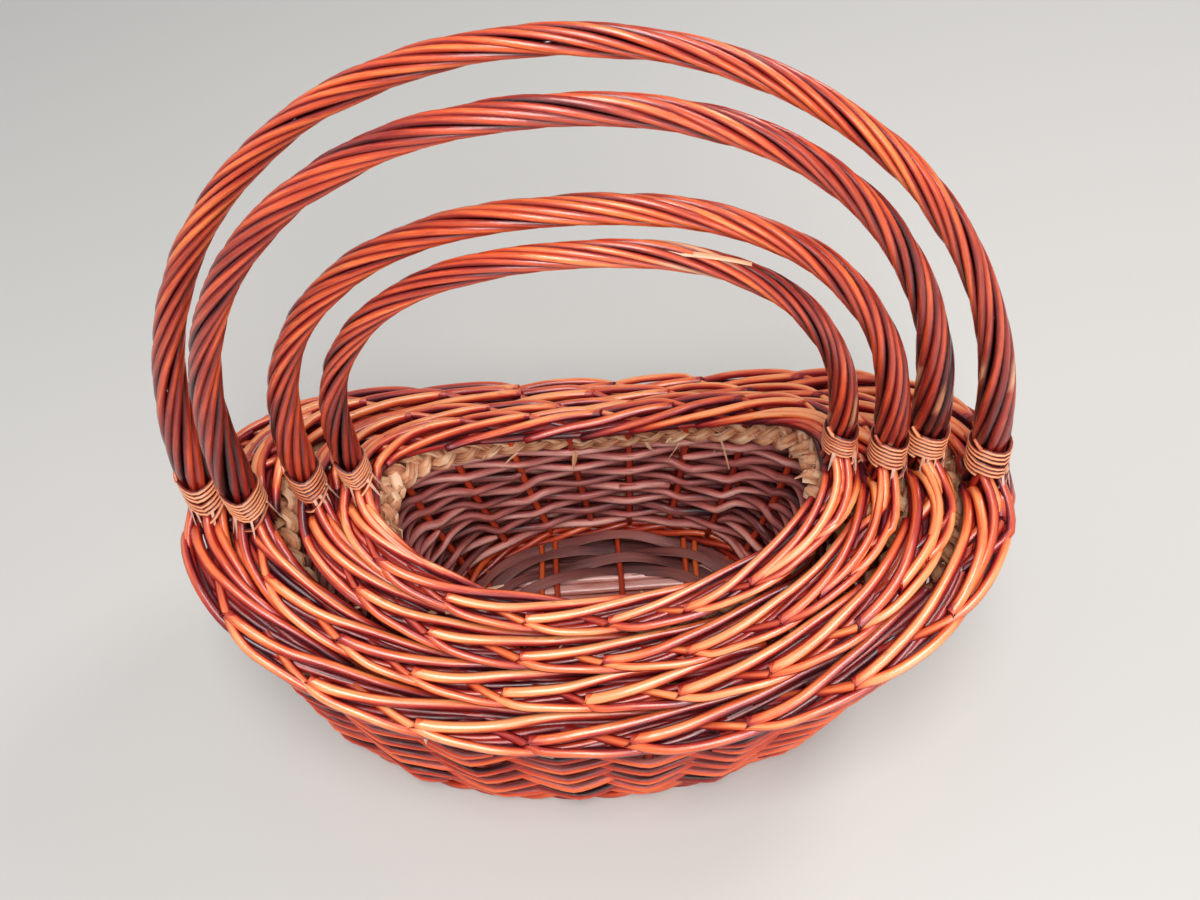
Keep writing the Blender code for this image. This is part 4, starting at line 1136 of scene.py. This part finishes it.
# name, place, what it aims at, width and height, watts, colour
LAMPS = (
    ("key", (0.12, -0.75, 1.8), (0, 0, 0.15), (0.5, 1.5), 31, (1, 0.98, 0.97)),
    ("front", (0.8, -1.6, 0.6), (0, 0, 0.08), (0.9, 0.6), 9, (1, 0.98, 0.97)),
    ("side", (1.0, 0.7, 1.3), (0, 0, 0.15), (0.5, 0.5), 8, (1, 0.98, 0.96)),
    ("fill", (-1.5, 0.2, 1.2), (0, 0, 0.2), (1.4, 1.4), 4, (0.95, 0.97, 1)),
)
SKY_COLOUR = (0.92, 0.96, 1.0, 1)
SKY_STRENGTH = 0.32
CAMERA_PLACE = (0.0507, -0.3956, 0.802)
CAMERA_YAW = -0.1055
CAMERA_PITCH = -0.9616
CAMERA_ROLL = -0.1262
SENSOR_WIDTH = 36
FOCAL_LENGTH = 36


def add_ground(scene):
    """A plain pale floor."""
    far = GROUND_REACH
    mesh = bpy.data.meshes.new("ground")
    mesh.from_pydata([(-far, -far, 0), (far, -far, 0), (far, far, 0), (-far, far, 0)], [], [(0, 1, 2, 3)])
    n = Nodes("plain_floor")
    n.shader.inputs["Base Color"].default_value = (*srgb(206, 204, 200), 1)
    n.shader.inputs["Roughness"].default_value = 0.9
    mesh.materials.append(n.material)
    ground = bpy.data.objects.new("ground", mesh)
    scene.collection.objects.link(ground)


def add_lamp(scene, name, place, target, size, power, colour):
    """A soft rectangular lamp aimed at a point."""
    light = bpy.data.lights.new(name, "AREA")
    light.shape = "RECTANGLE"
    light.energy, light.color = power, colour
    light.size, light.size_y = size
    lamp = bpy.data.objects.new(name, light)
    aim = (Vector(place) - Vector(target)).to_track_quat("Z", "Y").to_matrix().to_4x4()
    lamp.matrix_world = Matrix.Translation(place) @ aim
    scene.collection.objects.link(lamp)


def add_camera(scene):
    """The photograph's camera, which looks steeply down and is a little tilted."""
    level = math.cos(CAMERA_PITCH)
    ahead = Vector((math.sin(CAMERA_YAW) * level, math.cos(CAMERA_YAW) * level, math.sin(CAMERA_PITCH)))
    right = Vector((math.cos(CAMERA_YAW), -math.sin(CAMERA_YAW), 0))
    above = right.cross(ahead)
    c, s = math.cos(CAMERA_ROLL), math.sin(CAMERA_ROLL)
    axes = Matrix((right * c + above * s, above * c - right * s, -ahead)).transposed()
    data = bpy.data.cameras.new("camera")
    data.sensor_fit, data.sensor_width, data.lens = "HORIZONTAL", SENSOR_WIDTH, FOCAL_LENGTH
    data.clip_start = 0.01
    camera = bpy.data.objects.new("camera", data)
    camera.matrix_world = Matrix.Translation(CAMERA_PLACE) @ axes.to_4x4()
    scene.collection.objects.link(camera)
    scene.camera = camera


def set_stage():
    """The floor, soft light and the camera."""
    scene = bpy.context.scene
    add_ground(scene)
    world = bpy.data.worlds.new("studio")
    scene.world = world
    world.use_nodes = True
    sky = world.node_tree.nodes["Background"].inputs
    sky[0].default_value = SKY_COLOUR
    sky[1].default_value = SKY_STRENGTH
    for lamp in LAMPS:
        add_lamp(scene, *lamp)
    add_camera(scene)
    scene.view_settings.view_transform = "Standard"


dress()
set_stage()
bpy.context.view_layer.update()
